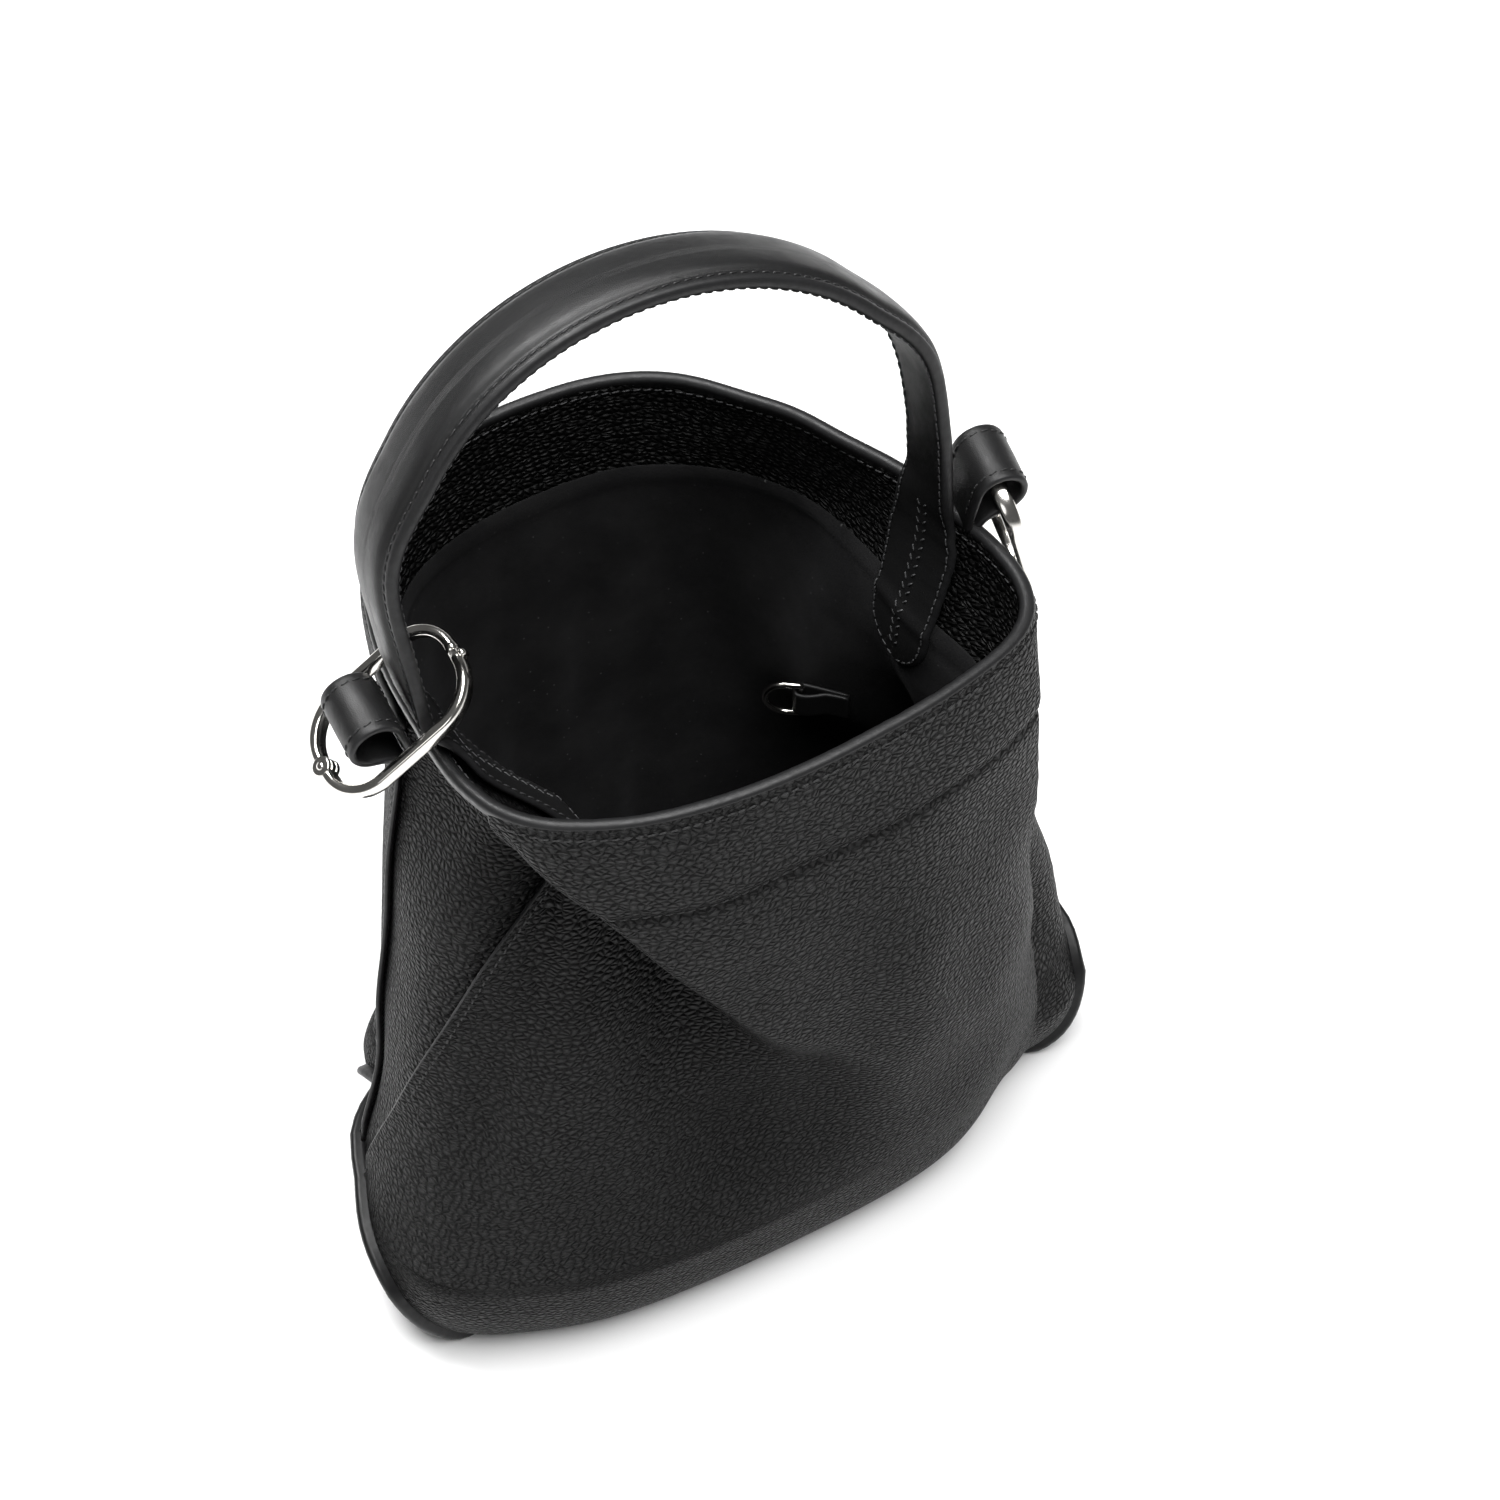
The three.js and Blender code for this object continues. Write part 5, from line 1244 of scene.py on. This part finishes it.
fold = softened(np.concatenate([
    np.linspace((-15, -2.45), (-2, -2.35), 10), arc(0, 0, 2.35, -90, 90, 16),
    np.linspace((-2, 2.2), (-6, 0.4), 5), np.linspace((-7.5, -0.75), (-15, -1.05), 8),
]), 2)
ahead = unit(np.gradient(fold, axis=0))
out = np.stack([ahead[:, 1], -ahead[:, 0]], -1)
across = np.repeat(np.linspace(-5, 5, 11)[None], len(fold), 0)
faces = []
for offset in (0.6, -0.6):
    x, z = (np.repeat((fold + out * offset)[:, k : k + 1], 11, 1) for k in (0, 1))
    faces.append(placed(TAB_AXES, np.stack([x, across, z], -1)))
keep(sheet("d_ring_strip", faces[0], faces[1], [MATT, EDGE]), stands_for=["d_ring_tab"])

hidden_board = frame["nodes"]["base_board"]
hidden_board.data.materials.clear()
hidden_board.data.materials.append(BOARD)


# ---------------------------------------------------------------- studio

bpy.ops.mesh.primitive_plane_add(size=24, location=(0, 0, 0))
floor = bpy.context.object
floor.name = "floor"
paper = clouded("floor_paper", 0.85, 0.1, 3.0, 2.0, (0.90, 0.90, 0.90), (0.93, 0.93, 0.93))
floor.data.materials.append(paper)

AZIMUTH, ELEVATION, ROLL = math.radians(-27.29), math.radians(55.8), math.radians(-0.43)
TARGET = Vector((0.01934, 0, 0.18796))
DISTANCE = 0.89693
camera_data = bpy.data.cameras.new("camera")
camera = bpy.data.objects.new("camera", camera_data)
bpy.context.scene.collection.objects.link(camera)
camera_data.lens = 70.4
camera_data.sensor_width = 36
level_part = math.cos(ELEVATION)
back = Vector((math.sin(AZIMUTH) * level_part, -math.cos(AZIMUTH) * level_part, math.sin(ELEVATION)))
camera.location = TARGET + back * DISTANCE
camera.rotation_euler = back.to_track_quat("Z", "Y").to_euler()
camera.rotation_euler.rotate_axis("Z", ROLL)
bpy.context.scene.camera = camera


def soft_light(name, place, aim, size, power):
    """Round area light that faces a point."""
    data = bpy.data.lights.new(name, "AREA")
    data.shape = "DISK"
    data.size = size
    data.energy = power
    lamp = bpy.data.objects.new(name, data)
    bpy.context.scene.collection.objects.link(lamp)
    lamp.location = place
    lamp.rotation_euler = (Vector(place) - Vector(aim)).to_track_quat("Z", "Y").to_euler()


centre = (0, 0, 0.15)
soft_light("key", (-0.25, 0.9, 2.0), centre, 1.1, 52)
soft_light("top", (0.15, -0.45, 2.3), centre, 1.6, 66)
soft_light("front_fill", (-1.2, -1.6, 1.3), centre, 1.0, 4)

world = bpy.data.worlds.new("studio")
bpy.context.scene.world = world
world.use_nodes = True
world.node_tree.nodes["Background"].inputs["Color"].default_value = (1, 1, 1, 1)
world.node_tree.nodes["Background"].inputs["Strength"].default_value = 0.1

bpy.context.scene.view_settings.view_transform = "Standard"
